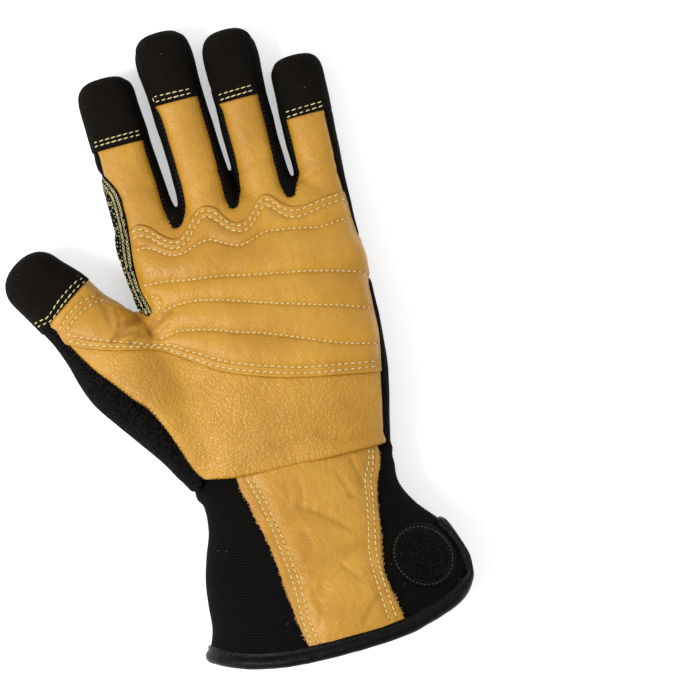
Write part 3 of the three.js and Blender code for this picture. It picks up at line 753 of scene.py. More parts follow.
# %% The overlay's outline and its rows of stitches
OVERLAY_TOP = [(-43.2, 62.2), (-38.6, 63.8), (-34.5, 62.2), (-31, 58.6), (-27.9, 55.5), (-23.5, 53.5),
               (-18.7, 56.6), (-16, 59.9), (-11.9, 63.7), (-8.2, 64.1), (-4.3, 62.1), (-1.4, 57.8),
               (1.2, 54.4), (4.6, 53.4), (7.9, 54.4), (11.5, 57.9), (14.7, 61.5), (17.6, 62.5),
               (20.7, 60.8), (23.4, 57.4), (27.1, 54.6), (33.4, 53.4), (42, 54.6), (52.4, 55.2)]
OVERLAY_RIGHT = [(52.4, 46), (53.2, 36), (55, 31), (56, 26), (54.6, 20), (51.8, 14), (51.2, 5), (50.4, -8),
                 (47.4, -24.8)]
OVERLAY_BOTTOM = [(24.8, -20.4), (8, -16.8), (-8.4, -11.5), (-20.3, -6.1), (-27.9, -1), (-35.4, 4.1),
                  (-41.1, 7.9), (-47.1, 10.4), (-59.6, 13.3), (-71.9, 17.5), (-82.4, 22)]
OVERLAY_LEFT = [(-84, 28.6), (-86.2, 31.6), (-77, 38.2), (-70.5, 42.2), (-66, 44), (-61.8, 38.6),
                (-56, 33.6), (-49.5, 29.2), (-45.4, 26), (-42.6, 25.8), (-44.2, 31), (-44.8, 38),
                (-44.9, 46), (-43.9, 55)]
QUILT_ROWS = {
    "top_upper": [(-41.9, 61.1), (-37.9, 61.6), (-34.2, 59.4), (-30.7, 55.9), (-27.2, 53.2), (-23.4, 51.9),
                  (-19.2, 54.3), (-16, 58), (-12, 61.6), (-8.5, 62), (-4.9, 59.9), (-1.6, 55.8),
                  (2, 52.9), (5.6, 51.9), (9.3, 53.9), (13.1, 58), (16.5, 60.1), (19.5, 58.8),
                  (22.7, 55.1), (26.5, 52.7), (30.9, 52), (35.7, 52.6), (41.4, 53.5), (47.2, 54),
                  (51.9, 53.8)],
    "top_lower": [(-42.2, 58.5), (-38.5, 58.9), (-34.6, 56.9), (-31.8, 53.9), (-28.1, 50.9), (-23.9, 49.6),
                  (-19.5, 51.3), (-15.7, 55.2), (-11.7, 58.7), (-8.8, 59.5), (-5.8, 57.6), (-2.4, 53.6),
                  (1.3, 50.4), (5.1, 49.4), (9.1, 51), (13.1, 54.9), (16.4, 57.3), (19.5, 55.9),
                  (22.6, 52.4), (26, 50), (30.8, 49.3), (35.6, 50), (41.3, 51), (46.7, 51.5), (51.4, 51.4)],
    "channel_1": [(-41.9, 53.1), (-37.8, 53.3), (-33.9, 51.4), (-30, 48.4), (-26, 46.8), (-21.4, 47),
                  (-16.6, 48.6), (-10.6, 49.6), (-6, 47.4), (-1.3, 44.9), (2.8, 43.8), (7.5, 44.7),
                  (13.8, 46.6), (20.3, 45.8), (28.8, 44.4), (37.2, 42.6), (46.3, 43.2), (51.2, 43.3)],
    "channel_2": [(-42.9, 37.7), (-33.3, 37), (-22.7, 35), (-9.8, 33.3), (2.8, 30.4), (15.5, 27.9),
                  (28.2, 25.4), (40.6, 22.1), (48.8, 19.4), (51.8, 17.3)],
    "channel_3": [(-37.4, 24.7), (-31.8, 25.9), (-22.9, 25.7), (-14.5, 23.9), (-4.2, 20.7), (8, 16.6),
                  (20.3, 12.8), (36.8, 7.9), (49.8, 3.1)],
    "channel_4": [(-41.7, 13.8), (-37.1, 14.4), (-32.5, 14.9), (-26.2, 13.7), (-17.9, 11.5), (-7.7, 7.8),
                  (1.3, 5), (12.6, 0.6), (24.6, -4.4), (36.8, -9), (50.4, -12.7)],
    "crotch_loop": [(-41.3, 32), (-38.7, 31.7), (-37.6, 29.2), (-38.4, 26.3), (-41, 24.8)],
    "bottom_upper": [(-80.2, 26.4), (-72.7, 22.6), (-62.7, 18.6), (-52.5, 15), (-46.5, 12.5), (-38.2, 10.2),
                     (-32.5, 6.5), (-26.8, 3.2), (-19.1, -1.6), (-9.2, -6), (1, -9.6), (13.3, -13.4),
                     (26, -15.9), (48.6, -19.8)],
    "bottom_lower": [(-80.1, 23.3), (-71.4, 19.1), (-59.2, 15), (-46.7, 11.6), (-40.6, 9.2), (-34.9, 5.4),
                     (-29.3, 1.7), (-21.7, -3.4), (-11.9, -7.9), (0.3, -12.1), (12.7, -15.9),
                     (25.4, -18.4), (48.3, -22)],
    "thumb_outer": [(-60.1, 38.4), (-65.3, 38.9), (-71, 37.3), (-76.3, 34.2), (-81.6, 29.4), (-82.3, 28)],
    "thumb_inner": [(-59.7, 36.5), (-64.7, 36), (-70, 34.3), (-75.4, 30.9), (-79.3, 27.9)],
}
CROTCH_VALLEY = [(-51, 29.5), (-47.5, 26.6), (-44.4, 23.6), (-43.6, 20.5), (-44.6, 17)]
overlay_outline = np.vstack([smooth_line(OVERLAY_TOP), smooth_line(OVERLAY_RIGHT, 1.5)[1:],
                             smooth_line(OVERLAY_BOTTOM), smooth_line(OVERLAY_LEFT[:6]),
                             smooth_line(OVERLAY_LEFT[6:])])
in_overlay = plan_field(overlay_outline)
quilt_lines = {name: smooth_line(points, 0.5) for name, points in QUILT_ROWS.items()}
near_quilt = near_lines(list(quilt_lines.values()))
near_valley = near_lines([smooth_line(CROTCH_VALLEY)])
near_side_seams = near_lines([smooth_line(line) for line in (OUTER_SEAM, KNIT_SEAM, THUMB_SIDE_SEAM)])
print("quilting", {name: round(float(np.linalg.norm(np.diff(line, axis=0), axis=1).sum()))
                   for name, line in quilt_lines.items()}, "mm")

# %% [markdown]
# The overlay is cut from the same form and raised over its foam. How high the foam stands depends on the
# distance to the nearest row of stitches, as in a real quilt. Then a short cloth simulation lets the foam
# press the leather outwards while the stitched rows hold it, with a cap on how far a point may move.

# %% The overlay over its foam
OVERLAY_FLOOR_Z = 13.0
SHEET, PUFF, PUFF_REACH, THUMB_THINNER, UNDERLAY_SINK = 1.15, 1.7, 4.2, 0.55, 0.8
SEWN_OFF, SEWN_REACH, VALLEY_REACH = 0.4, 2.2, 2.6
FOAM_FRAMES, FOAM_CAP, FOAM_SCALE = 20, 0.9, 40.0
FOAM = {"quality": 6, "mass": 0.1, "tension_stiffness": 25, "compression_stiffness": 25,
        "shear_stiffness": 10, "bending_stiffness": 4, "use_pressure": True, "uniform_pressure_force": 4,
        "pin_stiffness": 1}


def overlay_field(p):
    return np.min([in_overlay(p), above(p, OVERLAY_FLOOR_Z), in_palm(p), -in_knit(p), -in_thumb_side(p)],
                  axis=0)


def held(points):
    """How firmly stitches and seams hold the leather at each point."""
    gap = np.minimum(near_quilt(points), np.maximum(in_overlay(points), 0) + 0.2)
    return np.clip(1.6 - gap / 1.1, 0, 1)


def sewn_at(points):
    """How near each point is to a seam at the side of the palm."""
    return np.exp(-(np.maximum(near_side_seams(points) - SEWN_OFF, 0) / SEWN_REACH) ** 2)


def valley_at(points):
    """How near each point is to the bottom of the thumb's crotch."""
    return np.exp(-(near_valley(points) / VALLEY_REACH) ** 2)


def press_out(piece, hold):
    """Runs the cloth simulation on an enlarged copy and returns each point's move in millimetres."""
    bag = copy_of(piece, "foam_bag")
    start = points_of(bag)
    middle = start.mean(0)
    move_points(bag, (start - middle) * FOAM_SCALE + CENTRE)
    group = bag.vertex_groups.new(name="stitched")
    for k, weight in enumerate(hold):
        if weight > 0.01:
            group.add([k], float(weight), "REPLACE")
    alone(bag)
    bpy.ops.object.modifier_add(type="CLOTH")
    cloth = bag.modifiers[-1]
    for key, value in FOAM.items():
        setattr(cloth.settings, key, value)
    cloth.settings.effector_weights.gravity = 0
    cloth.settings.vertex_group_mass = group.name
    cloth.point_cache.frame_start = 1
    cloth.point_cache.frame_end = FOAM_FRAMES
    for k in range(1, FOAM_FRAMES + 1):
        bpy.context.scene.frame_set(k)
    bpy.ops.object.modifier_apply(modifier=cloth.name)
    bpy.context.scene.frame_set(1)
    moved = (points_of(bag) - CENTRE) / FOAM_SCALE + middle - start
    bpy.data.objects.remove(bag)
    return moved


palm = panels["palm_leather"]
covered = np.clip(overlay_field(points_of(palm)) / 1.5, 0, 1)
raise_by(palm, -UNDERLAY_SINK * covered)
overlay = cut_panel("quilted_overlay", hand_form, hand_tree, overlay_field)
points = points_of(overlay)
inner = np.minimum(near_quilt(points), np.maximum(in_overlay(points), 0) + 0.3)
on_thumb = np.clip((-44 - points[:, 0]) / 6, 0, 1)
sewn, valley = sewn_at(points), valley_at(points)
facing = 0.3 + 0.7 * np.clip(normals_of(overlay)[:, 2] / 0.65, 0, 1)
puff = PUFF * (1 - np.exp(-(inner / PUFF_REACH) ** 1.5)) * (1 - THUMB_THINNER * on_thumb)
height = (SHEET + puff * (1 - valley)) * (1 - 0.85 * sewn) * facing * (1 - 0.45 * valley)
raise_by(overlay, height)
moved = press_out(overlay, np.maximum(held(points), sewn))
print("the foam moved points up to", round(float(np.linalg.norm(moved, axis=1).max()), 2), "mm")
move_points(overlay, points_of(overlay) + limited(moved, FOAM_CAP))
print("overlay", len(overlay.data.polygons), "faces, up to", round(float(height.max()), 2), "mm high")

# %% [markdown]
# After one subdivision, the thread pulls the leather down into a groove along each row, with small puckers
# across it. The creases of the thumb's crotch run over the overlay too, and the sharp valley between the
# thumb and the palm is smoothed.

# %% Grooves, puckers and creases
GROOVE, GROOVE_WIDTH = 0.5, 0.75
PUCKER, PUCKER_REACH, PUCKER_START = 0.3, 3.0, 0.8
EDGE_ROLL, EDGE_WIDTH, CROTCH_PASSES = 0.7, 0.9, 24
apply_modifier(overlay, "SUBSURF", levels=1, render_levels=1)
points = points_of(overlay)
d = near_quilt(points)
edge = np.maximum(in_overlay(points), 0)
sewn, valley = sewn_at(points), valley_at(points)
creases = pressed_by(crease_fields, points)
pressed = creases * np.clip((edge - 0.4) / 2.5, 0, 1) * (1 - 0.8 * valley)
height = (PUCKER * np.exp(-d / PUCKER_REACH) * (1 - np.exp(-(d / PUCKER_START) ** 2))
          * rough(points, 2.4, 5, (1, 2.6, 2)))
height -= (1 - 0.8 * sewn) * GROOVE * np.exp(-(d / GROOVE_WIDTH) ** 2) + pressed * 0.8
height -= EDGE_ROLL * np.clip(1 - edge / EDGE_WIDTH, 0, 1) ** 2
height += 0.22 * rough(points, 9, 2) + 0.1 * rough(points, 3.4, 9)
raise_by(overlay, height)
# painted shade: darker in the creases, along the stitched grooves and near the side seams
shade(overlay, creases * 0.45 + 0.16 * np.exp(-(d / 0.7) ** 2) + 0.25 * sewn ** 3)
smooth_where(overlay, valley, 1.5, 0.05, CROTCH_PASSES)
print("overlay", len(overlay.data.polygons), "faces")

# %% [markdown]
# ## The cuff
# The sleeve is rib knit with a slit on the little finger's side, cut out in side view. A leather panel lies
# on it, with rough edges beside two rows of stitches, and a leather binding folds over the whole free edge.

# %% Slit the sleeve and press the ribs into it
VENT = [(-89.5, 23), (-100, 24.2), (-111, 25), (-118, 26.4), (-123, 29.4), (-127, 34), (-130.5, 39.5),
        (-134.6, 47), (-150, 52), (-150, -4), (-134.6, 1), (-130.5, 7), (-127, 12), (-123, 16.6),
        (-118, 19.8), (-111, 21.2), (-100, 21.9)]
VENT_FROM_X = 36
RIB_PITCH, RIB_DEPTH, SLEEVE_WALL = 1.1, 0.14, 1.6
WRIST_Y, WRIST_REACH, UNDER_HEEL_Y = -60, 5, -52
in_vent = plan_field(np.vstack([smooth_line(VENT[:8]), smooth_line(VENT[8:])]))


def sleeve_field(p):
    """Positive on the sleeve, outside its slit."""
    return -np.minimum(in_vent(p[:, [1, 2]]), p[:, 0] - VENT_FROM_X)


sleeve = cut_panel("ribbed_sleeve", cuff_form, cuff_tree, sleeve_field)
flat_sleeve = points_of(sleeve)
sleeve_rim = border_of(sleeve)
sleeve_tree = surface_of(sleeve)
row = read(sleeve.data.attributes["row"].data, "value", 1)
course = np.interp(row, np.arange(len(cuff_rows["y"])), cuff_rows["y"]) / RIB_PITCH
height = RIB_DEPTH * np.cos(2 * np.pi * course) + 0.5 * rough(flat_sleeve, 13, 4, (1.6, 1, 1.2))
wrist = np.exp(-((flat_sleeve[:, 1] - WRIST_Y) / WRIST_REACH) ** 2)
height += 0.6 * wrist * rough(flat_sleeve, 6, 6, (2.2, 0.8, 1))
height *= np.clip((UNDER_HEEL_Y - flat_sleeve[:, 1]) / 3, 0, 1)
# painted shade: the grooves between the ribs are stored darker and the ridges lighter
shade(sleeve, 0.5 + 0.5 * np.cos(2 * np.pi * course))
ribbed_sleeve = flat_sleeve + height[:, None] * normals_of(sleeve)
apply_modifier(sleeve, "SOLIDIFY", thickness=SLEEVE_WALL * MM, offset=-1)
points = points_of(sleeve)
points[:len(ribbed_sleeve)] = ribbed_sleeve
move_points(sleeve, np.maximum(points, [-1000, -1000, 0]))
print("sleeve", len(sleeve.data.polygons), "faces")

# %% [markdown]
# The binding is a ring of short sections, swept along the sleeve's free edge. A torus has the right build
# for that: its big circle becomes the edge's path, and its small circle becomes the folded leather.

# %% The binding
BINDING_STEP, BINDING_SIDES = 1.2, 14
PROBE = 2.5  # a step this long tells which way the sleeve lies
SLIT_NARROWS, SLIT_Y, SLIT_FADE = 0.4, -124, 6  # the binding is narrower along the slit
CUFF_PANEL = table("y left right", [
    (-50, -25, 36.4), (-55.4, -24.8, 36.2), (-60, -24.2, 35.8), (-65, -22.5, 34.2), (-70, -22, 32),
    (-80, -19.5, 29.8), (-90, -18, 28.5), (-103, -17, 25.8), (-110, -16.2, 25.5), (-120, -15.2, 27.2),
    (-127, -14, 28.4), (-130.4, -13.4, 29)])
PANEL_FLOOR_Z, PANEL_LIFT = 22, 2.1
in_panel = plan_field(strip_outline({k: v[::-1] for k, v in CUFF_PANEL.items()}))


def walk(pairs, start):
    """The points of an open edge in order, once round."""
    nexts = {}
    for a, b in pairs:
        nexts.setdefault(int(a), []).append(int(b))
        nexts.setdefault(int(b), []).append(int(a))
    path, before, here = [start], None, start
    while True:
        ahead = [k for k in nexts[here] if k != before]
        before, here = here, ahead[0]
        if here == start:
            return path
        path.append(here)


def even_ring(points, step, passes=3):
    """A closed path with even steps, smoothed a little."""
    ring = np.vstack([points, points[:1]])
    run = np.append(0, np.cumsum(np.linalg.norm(np.diff(ring, axis=0), axis=1)))
    count = int(run[-1] / step)
    at = np.linspace(0, run[-1], count, endpoint=False)
    out = np.stack([np.interp(at, run, ring[:, k]) for k in range(3)], 1)
    for _ in range(passes):
        out = out / 2 + (np.roll(out, 1, axis=0) + np.roll(out, -1, axis=0)) / 4
    return out


def unit(vectors):
    return vectors / np.maximum(np.linalg.norm(vectors, axis=-1, keepdims=True), 1e-9)


def binding_width(path):
    """How wide the binding is along its path: 1 on the hem, and less on the slit."""
    on_slit = np.clip((path[:, 1:2] - SLIT_Y) / SLIT_FADE, 0, 1) * (path[:, :1] > VENT_FROM_X)
    return 1 - SLIT_NARROWS * on_slit


start = int(min(np.unique(sleeve_rim), key=lambda k: ribbed_sleeve[k, 1]))
edge_path = even_ring(ribbed_sleeve[walk(sleeve_rim, start)], BINDING_STEP)
_, edge_out = onto(surface_of(cuff_form), edge_path)
for _ in range(3):
    edge_out = unit(edge_out + np.roll(edge_out, 1, axis=0) + np.roll(edge_out, -1, axis=0))
edge_along = unit(np.roll(edge_path, -1, axis=0) - np.roll(edge_path, 1, axis=0))
edge_in = unit(np.cross(edge_out, edge_along))
reached = [edge_path + way * PROBE * edge_in for way in (1, -1)]
misses = [np.linalg.norm(onto(sleeve_tree, at)[0] - at, axis=1).mean() for at in reached]
if misses[0] > misses[1]:
    edge_in = -edge_in
BINDING_FOLD = [  # the folded leather's section: into the sleeve, and out of its face
    (6.5, 0.05), (6.4, 0.95), (5.6, 1.2), (4.7, 0.7), (3.9, 1.35), (2.3, 2.0), (0.6, 1.7), (-0.7, 0.5),
    (-1.0, -1.1), (-0.1, -2.3), (1.6, -2.9), (4.4, -2.6), (6.3, -2.2), (6.5, -1.5)]
alone()
bpy.ops.mesh.primitive_torus_add(major_segments=len(edge_path), minor_segments=BINDING_SIDES,
                                 major_radius=1, minor_radius=0.25)
binding = bpy.context.object
binding.name = "hem_binding"
at = read(binding.data.vertices, "co", 3)
ring = np.rint(np.arctan2(at[:, 1], at[:, 0]) / (2 * np.pi) * len(edge_path)).astype(int) % len(edge_path)
turn = np.arctan2(at[:, 2], np.hypot(at[:, 0], at[:, 1]) - 1)
fold = np.array(BINDING_FOLD)[np.rint(turn / (2 * np.pi) * BINDING_SIDES).astype(int) % BINDING_SIDES]
path = edge_path[ring]
over_panel = np.clip(in_panel(path) / 2 + 1, 0, 1)[:, None] * (path[:, 2:] > PANEL_FLOOR_Z)
lift = (fold[:, 1:] > 0.6) * over_panel * PANEL_LIFT
move_points(binding, path + fold[:, :1] * edge_in[ring] * binding_width(path)
            + (fold[:, 1:] + lift) * edge_out[ring])
edit(binding, lambda: bpy.ops.mesh.normals_make_consistent(inside=False))
apply_modifier(binding, "SUBSURF", levels=1, render_levels=1)
points = points_of(binding)
height = 0.14 * rough(points, 4.5, 1) + 0.04 * rough(points, 1.8, 4)
raise_by(binding, height, floor=0.02)
print("binding path", len(edge_path), "steps")

# %% The leather panel on the cuff
CUFF_ROWS = {
    "left_outer": [(-21, -53.6), (-17.8, -66.5), (-14.8, -85.1), (-13, -103.4), (-13.2, -118.8),
                   (-12.2, -129)],
    "left_inner": [(-18.5, -54.2), (-15.3, -67.1), (-12.3, -85.7), (-10.5, -104), (-10.3, -119.7),
                   (-8.9, -129.4)],
    "right_outer": [(34.6, -55.1), (32.7, -62.2), (30.2, -68.2), (28.9, -76.7), (26.3, -89.4),
                    (24.4, -100), (24.7, -115.7), (25.8, -126.9)],
    "right_inner": [(33, -54.7), (31.2, -60.5), (27.8, -67.5), (26.4, -76.2), (23.7, -88.7),
                    (21.5, -99.2), (21.7, -114.9), (22.6, -127.3)],
}
CUFF_WRINKLES = [  # each: its width and depth, then its points
    (1.3, 0.5, (0.5, -60), (0.1, -67.3), (-2.8, -72.4), (-9.8, -76.4)),
    (1.2, 0.6, (-2.4, -71), (5.1, -76), (11.1, -81.3), (16.3, -86.4)),
    (1.2, 0.7, (-3.8, -109), (2.8, -101.2), (11.5, -96.2), (20.6, -92.7)),
    (1.5, 0.5, (-8.3, -104.1), (-1.4, -100.1), (5.8, -95.4), (15.2, -93.5)),
    (1.3, 0.6, (24.1, -57.5), (25.4, -63.7), (26, -69.8)),
    (1.4, 0.5, (16.4, -61.3), (19.1, -67.9), (20.7, -72.8)),
    (1.0, 0.5, (19.3, -72.4), (24.3, -73)),
    (1.1, 0.6, (-1.9, -110.3), (2.5, -104.8), (9.5, -100.8)),
    (1.4, 0.6, (12.6, -125.2), (17.9, -119.3), (24, -115.7)),
    (1.3, 0.45, (-4, -82.4), (-1.3, -89), (-5.6, -93.8)),
    (1.2, 0.5, (-5.8, -108.5), (-4, -115.6), (-7.4, -122.8)),
    (1.2, 0.5, (9, -99.9), (12.2, -104.5), (16.3, -108.5)),
    (1.2, 0.4, (-5.3, -59.9), (-5.4, -65.8), (-7.9, -69.5)),
]
PANEL_TOP, PANEL_ROW_STEP, PANEL_SIDES = 1.35, 0.7, 340
ROW_DENT, PANEL_CROWN, PANEL_END_Y = 0.4, 0.9, -124
cuff_lines = {name: smooth_line(points, 0.5) for name, points in CUFF_ROWS.items()}
near_cuff_rows = near_lines(list(cuff_lines.values()))


def panel_field(p):
    """The panel in plan, its cut edge a little ragged."""
    ragged = 0.25 * np.sin(p[:, 1] * 2.9) * np.sin(p[:, 1] * 1.1 + 0.3 * p[:, 0])
    return np.minimum(in_panel(p) + ragged, above(p, PANEL_FLOOR_Z))


rings = rings_of(rows_between(CUFF, PANEL_ROW_STEP), PANEL_SIDES, VENT_SIDE, ROUND)
panel_form = loft("panel_form", rings, closed=False)
cuff_panel = cut_panel("cuff_leather", panel_form, cuff_tree, panel_field)
bpy.data.objects.remove(panel_form)
points = points_of(cuff_panel)
d = near_cuff_rows(points)
wrinkles = pressed_by(stroke_fields(CUFF_WRINKLES), points)
edge = np.maximum(in_panel(points), 0)
inner = np.clip(edge / 12, 0, 1)
height = PANEL_TOP - ROW_DENT * np.exp(-(d / 0.8) ** 2) + PANEL_CROWN * inner * (1 - np.exp(-(d / 3) ** 2))
ending = np.clip((PANEL_END_Y - points[:, 1]) / 5, 0, 1)
height *= 1 - 0.5 * ending
uneven = 0.5 * rough(points, 11, 7) + 0.16 * rough(points, 4.6, 1)
height += (1 - 0.8 * ending) * uneven * (0.3 + 0.7 * inner) - wrinkles
height += 0.14 * np.exp(-edge / 1.2) * rough(points, 1.6, 3)
raise_by(cuff_panel, height)
# painted shade in the wrinkles and along the rows of stitches; the leather is also darker towards its edge
shade(cuff_panel, wrinkles * 0.2 + 0.2 * np.exp(-(d / 0.7) ** 2) + 0.4 * np.exp(-edge))
print("cuff panel", len(cuff_panel.data.polygons), "faces")

# %% [markdown]
# The round patch is the hook half of a hook-and-loop fastener. It is a disc bent to the sleeve, and its
# hooks are one small bent wire, repeated.

# %% The hook patch
PATCH_AT, PATCH_RADIUS, PATCH_RISE = (44.2, -104.6, 37.0), 14.8, 1.3
PATCH_RINGS, PATCH_SIDES = 22, 72


def patch_point(radius, angle):
    """A point of the patch, laid on the sleeve's slope at its middle."""
    flat = patch_right * (radius * np.cos(angle))[:, None] + patch_up * (radius * np.sin(angle))[:, None]
    return onto(cuff_tree, patch_middle + flat)


patch_middle, patch_normal = (v[0] for v in onto(cuff_tree, [PATCH_AT]))
patch_right = unit(np.cross([0, 1, 0], patch_normal))
patch_up = np.cross(patch_normal, patch_right)
alone()
bpy.ops.mesh.primitive_circle_add(vertices=PATCH_SIDES, radius=1, fill_type="NGON")
patch = bpy.context.object
patch.name = "hook_disc"
edit(patch, *[lambda: bpy.ops.mesh.inset(thickness=1 / PATCH_RINGS * 0.98, depth=0)] * (PATCH_RINGS - 1))
at = read(patch.data.vertices, "co", 3)
surface, outward = patch_point(np.hypot(at[:, 0], at[:, 1]) * PATCH_RADIUS, np.arctan2(at[:, 1], at[:, 0]))
rim = np.clip((1 - np.hypot(at[:, 0], at[:, 1])) * PATCH_RADIUS, 0, 3)
height = PATCH_RISE - 0.35 * np.exp(-((rim - 1.2) / 0.5) ** 2) - 0.4 * np.clip(1 - rim / 0.4, 0, 1)
move_points(patch, surface + height[:, None] * outward)
print("patch at", np.round(patch_middle, 1))

# %% Walls for every panel
CLOTH_WALL, CAP_WALL, OVERLAY_WALL, PANEL_WALL, PATCH_WALL = 1.4, 0.9, 1.1, 1.0, 1.2
walls = [(overlay, OVERLAY_WALL), (cuff_panel, PANEL_WALL), (patch, PATCH_WALL)]
walls += [(panel, CAP_WALL if "tip" in node else CLOTH_WALL) for node, panel in panels.items()]
for panel, thickness in walls:
    apply_modifier(panel, "SOLIDIFY", thickness=thickness * MM, offset=-1)
    rest_on_table(panel)
trees = {"overlay": [surface_of(overlay)], "cuff": [surface_of(cuff_panel)], "patch": [surface_of(patch)],
         "binding": [surface_of(binding)],
         "caps": [surface_of(panel) for node, panel in panels.items() if "tip" in node],
         "seams": [surface_of(panel) for node, panel in panels.items()
                   if "tip" not in node and node != "hand_back"]}
print("walls", len(walls))

# %% [markdown]
# ## Stitches
# One stitch is a short thread that comes up out of one hole and goes down into the next. It is modelled
# once, and an array makes the copies, which then move to their places along each row. Lines of them are
# laid on the surface from above, as the sewing machine does.

# %% One stitch and its copies
LOWEST_STITCH_Z = 4
NOWHERE = (Vector((np.nan,) * 3), Vector((0, 0, 1)))


def drop(trees_under, points):
    """Where each plan point lands when dropped onto some surfaces, and the normal there."""
    landed = []
    for x, y in points:
        hits = [tree.ray_cast(Vector((x, y, 90)), Vector((0, 0, -1))) for tree in trees_under]
        hits = [hit for hit in hits if hit[0] is not None]
        best = max(hits, key=lambda hit: hit[0].z) if hits else None
        landed.append(best[:2] if best and best[0].z > LOWEST_STITCH_Z else NOWHERE)
    return np.array([a for a, _ in landed]), np.array([b for _, b in landed])


def along(line, spacing, first=0.5):
    """Places at even spacing along a line."""
    run = np.append(0, np.cumsum(np.linalg.norm(np.diff(line, axis=0), axis=1)))
    count = max(1, round(run[-1] / spacing))
    return (np.arange(count) + first) * run[-1] / count, run


def point_at(line, run, at):
    return np.stack([np.interp(at, run, line[:, k]) for k in range(line.shape[1])], 1)


def thread_form(name, rings=5, sides=6, dive=0.85):
    """A thread one long, with both ends bent down by dive of its own thickness."""
    u = np.linspace(-0.5, 0.5, rings)
    angle = 2 * np.pi * np.arange(sides) / sides
    thin = 1 - 0.35 * (2 * np.abs(u)) ** 4
    x = np.broadcast_to(u[:, None], (rings, sides))
    y = np.cos(angle) * thin[:, None] / 2
    z = np.sin(angle) * thin[:, None] / 2 - dive * (2 * np.abs(u[:, None])) ** 3 * 0.6 + 0.12
    return loft(name, np.stack([x, y, z], 2))


def copies(template, name, centres, axes):
    """One joined mesh of copies of a form, each at its centre with its own three axes."""
    many = copy_of(template, name)
    local = points_of(template)
    apply_modifier(many, "ARRAY", count=len(centres), use_relative_offset=False, use_constant_offset=True,
                   constant_offset_displace=(0, 0, 0))
    placed = centres[:, None, :] + np.einsum("nk,mkc->mnc", local, axes)
    move_points(many, placed.reshape(-1, 3))
    return many


def stitch_places(line, trees_under, pitch, length, slant=0.0, sink=0.0, first=0.5):
    """Centres and long, cross and up directions of the stitches along a row."""
    at, run = along(line, pitch, first)
    ends = [drop(trees_under, point_at(line, run, at + s * length / 2)) for s in (-1, 1)]
    centre, up = drop(trees_under, point_at(line, run, at))
    reach = ends[1][0] - ends[0][0]
    good = np.isfinite(reach).all(1) & np.isfinite(centre).all(1)
    good &= np.linalg.norm(reach, axis=1) < 3 * length
    reach, centre, up = reach[good], centre[good], up[good]
    forward = unit(reach)
    up = unit(up - (up * forward).sum(1)[:, None] * forward)
    side = np.cross(up, forward)
    forward = forward * math.cos(slant) + side * math.sin(slant)
    side = np.cross(up, forward)
    return centre - sink * up, np.stack([forward, side, up], 1)


def sew(name, rows, trees_under, pitch, length, thick, slant=0.0, sink=0.0, first=0.5):
    """A joined mesh of the stitches along several rows."""
    places = [stitch_places(line, trees_under, pitch, length, slant, sink, first) for line in rows]
    centres = np.vstack([centre for centre, _ in places])
    axes = np.vstack([a for _, a in places])
    wobble = 1 + 0.08 * rng.standard_normal((len(centres), 1, 1))
    axes = axes * np.array([length, thick, thick])[None, :, None] * wobble
    return copies(stitch, name, centres, axes)


def beside(line, offset):
    """A plan line moved sideways, to the left of its own direction."""
    run = np.gradient(line, axis=0)
    run /= np.linalg.norm(run, axis=1, keepdims=True)
    return line + offset * np.stack([-run[:, 1], run[:, 0]], 1)


stitch = thread_form("stitch_form")
print("one stitch", len(stitch.data.polygons), "faces")

# %% Rows of stitches
CAP_ROWS = {
    "index": [[(-48.1, 102.8), (-26.7, 102.9)], [(-48.2, 101), (-26.8, 101.1)]],
    "middle": [[(-18.1, 115.2), (1.7, 114.4)], [(-17.8, 112.9), (1.7, 112.6)]],
    "ring": [[(9.1, 108.8), (27.4, 109.2)], [(9.4, 106.5), (27.4, 107)]],
    "little": [[(35, 94.2), (52.4, 94.6)], [(35, 91.9), (52.4, 92.8)]],
    "thumb": [[(-66.4, 48.1), (-71.3, 46.3), (-78.9, 41.2), (-85.8, 35.4), (-89.5, 34.7), (-93, 34)],
              [(-65.8, 46.4), (-70.5, 44.3), (-78.2, 38.8), (-84.4, 33.8), (-89.3, 32.8), (-92, 32.4)]],
    "middle_end": [[(-18, 115.2), (-17.8, 112.9)]],
}
THREAD = 0.52
# small dark beads at the ends of the stitches: painted shade where the needle holes are
HOLE_SHADE = (0.5, 0.5, 0, 0.14, 1.0)
PATCH_SEAM_IN, BINDING_SEAM_IN, BINDING_SEAM_Z = 1.3, 4.7, 9
is_single = {name: name.startswith(("channel", "crotch")) for name in quilt_lines}
double_rows = [line for name, line in quilt_lines.items() if not is_single[name]]
single_rows = [line for name, line in quilt_lines.items() if is_single[name]]
cap_rows = [smooth_line(points, 0.5) for rows in CAP_ROWS.values() for points in rows]
cuff_rows_of_stitches = list(cuff_lines.values())
seam_rows = [beside(smooth_line(line, 0.5), 0.2) for line in (THUMB_SIDE_SEAM, OUTER_SEAM)]
for rows in STRIPS.values():
    for side, offset in (("left", 0.2), ("right", -0.2)):
        line = smooth_line(np.stack([rows[side], rows["y"]], 1), 0.5)
        seam_rows.append(beside(line[past_cap_line(line) < -1], offset))
circle = np.linspace(0, 2 * np.pi, 120)
patch_ring = patch_point(np.full(120, PATCH_RADIUS - PATCH_SEAM_IN), circle)[0][:, :2]
binding_row = edge_path + BINDING_SEAM_IN * binding_width(edge_path) * edge_in
binding_row = np.roll(binding_row, -int(edge_path[:, 2].argmin()), axis=0)
binding_row = binding_row[binding_row[:, 2] > BINDING_SEAM_Z][:, :2]
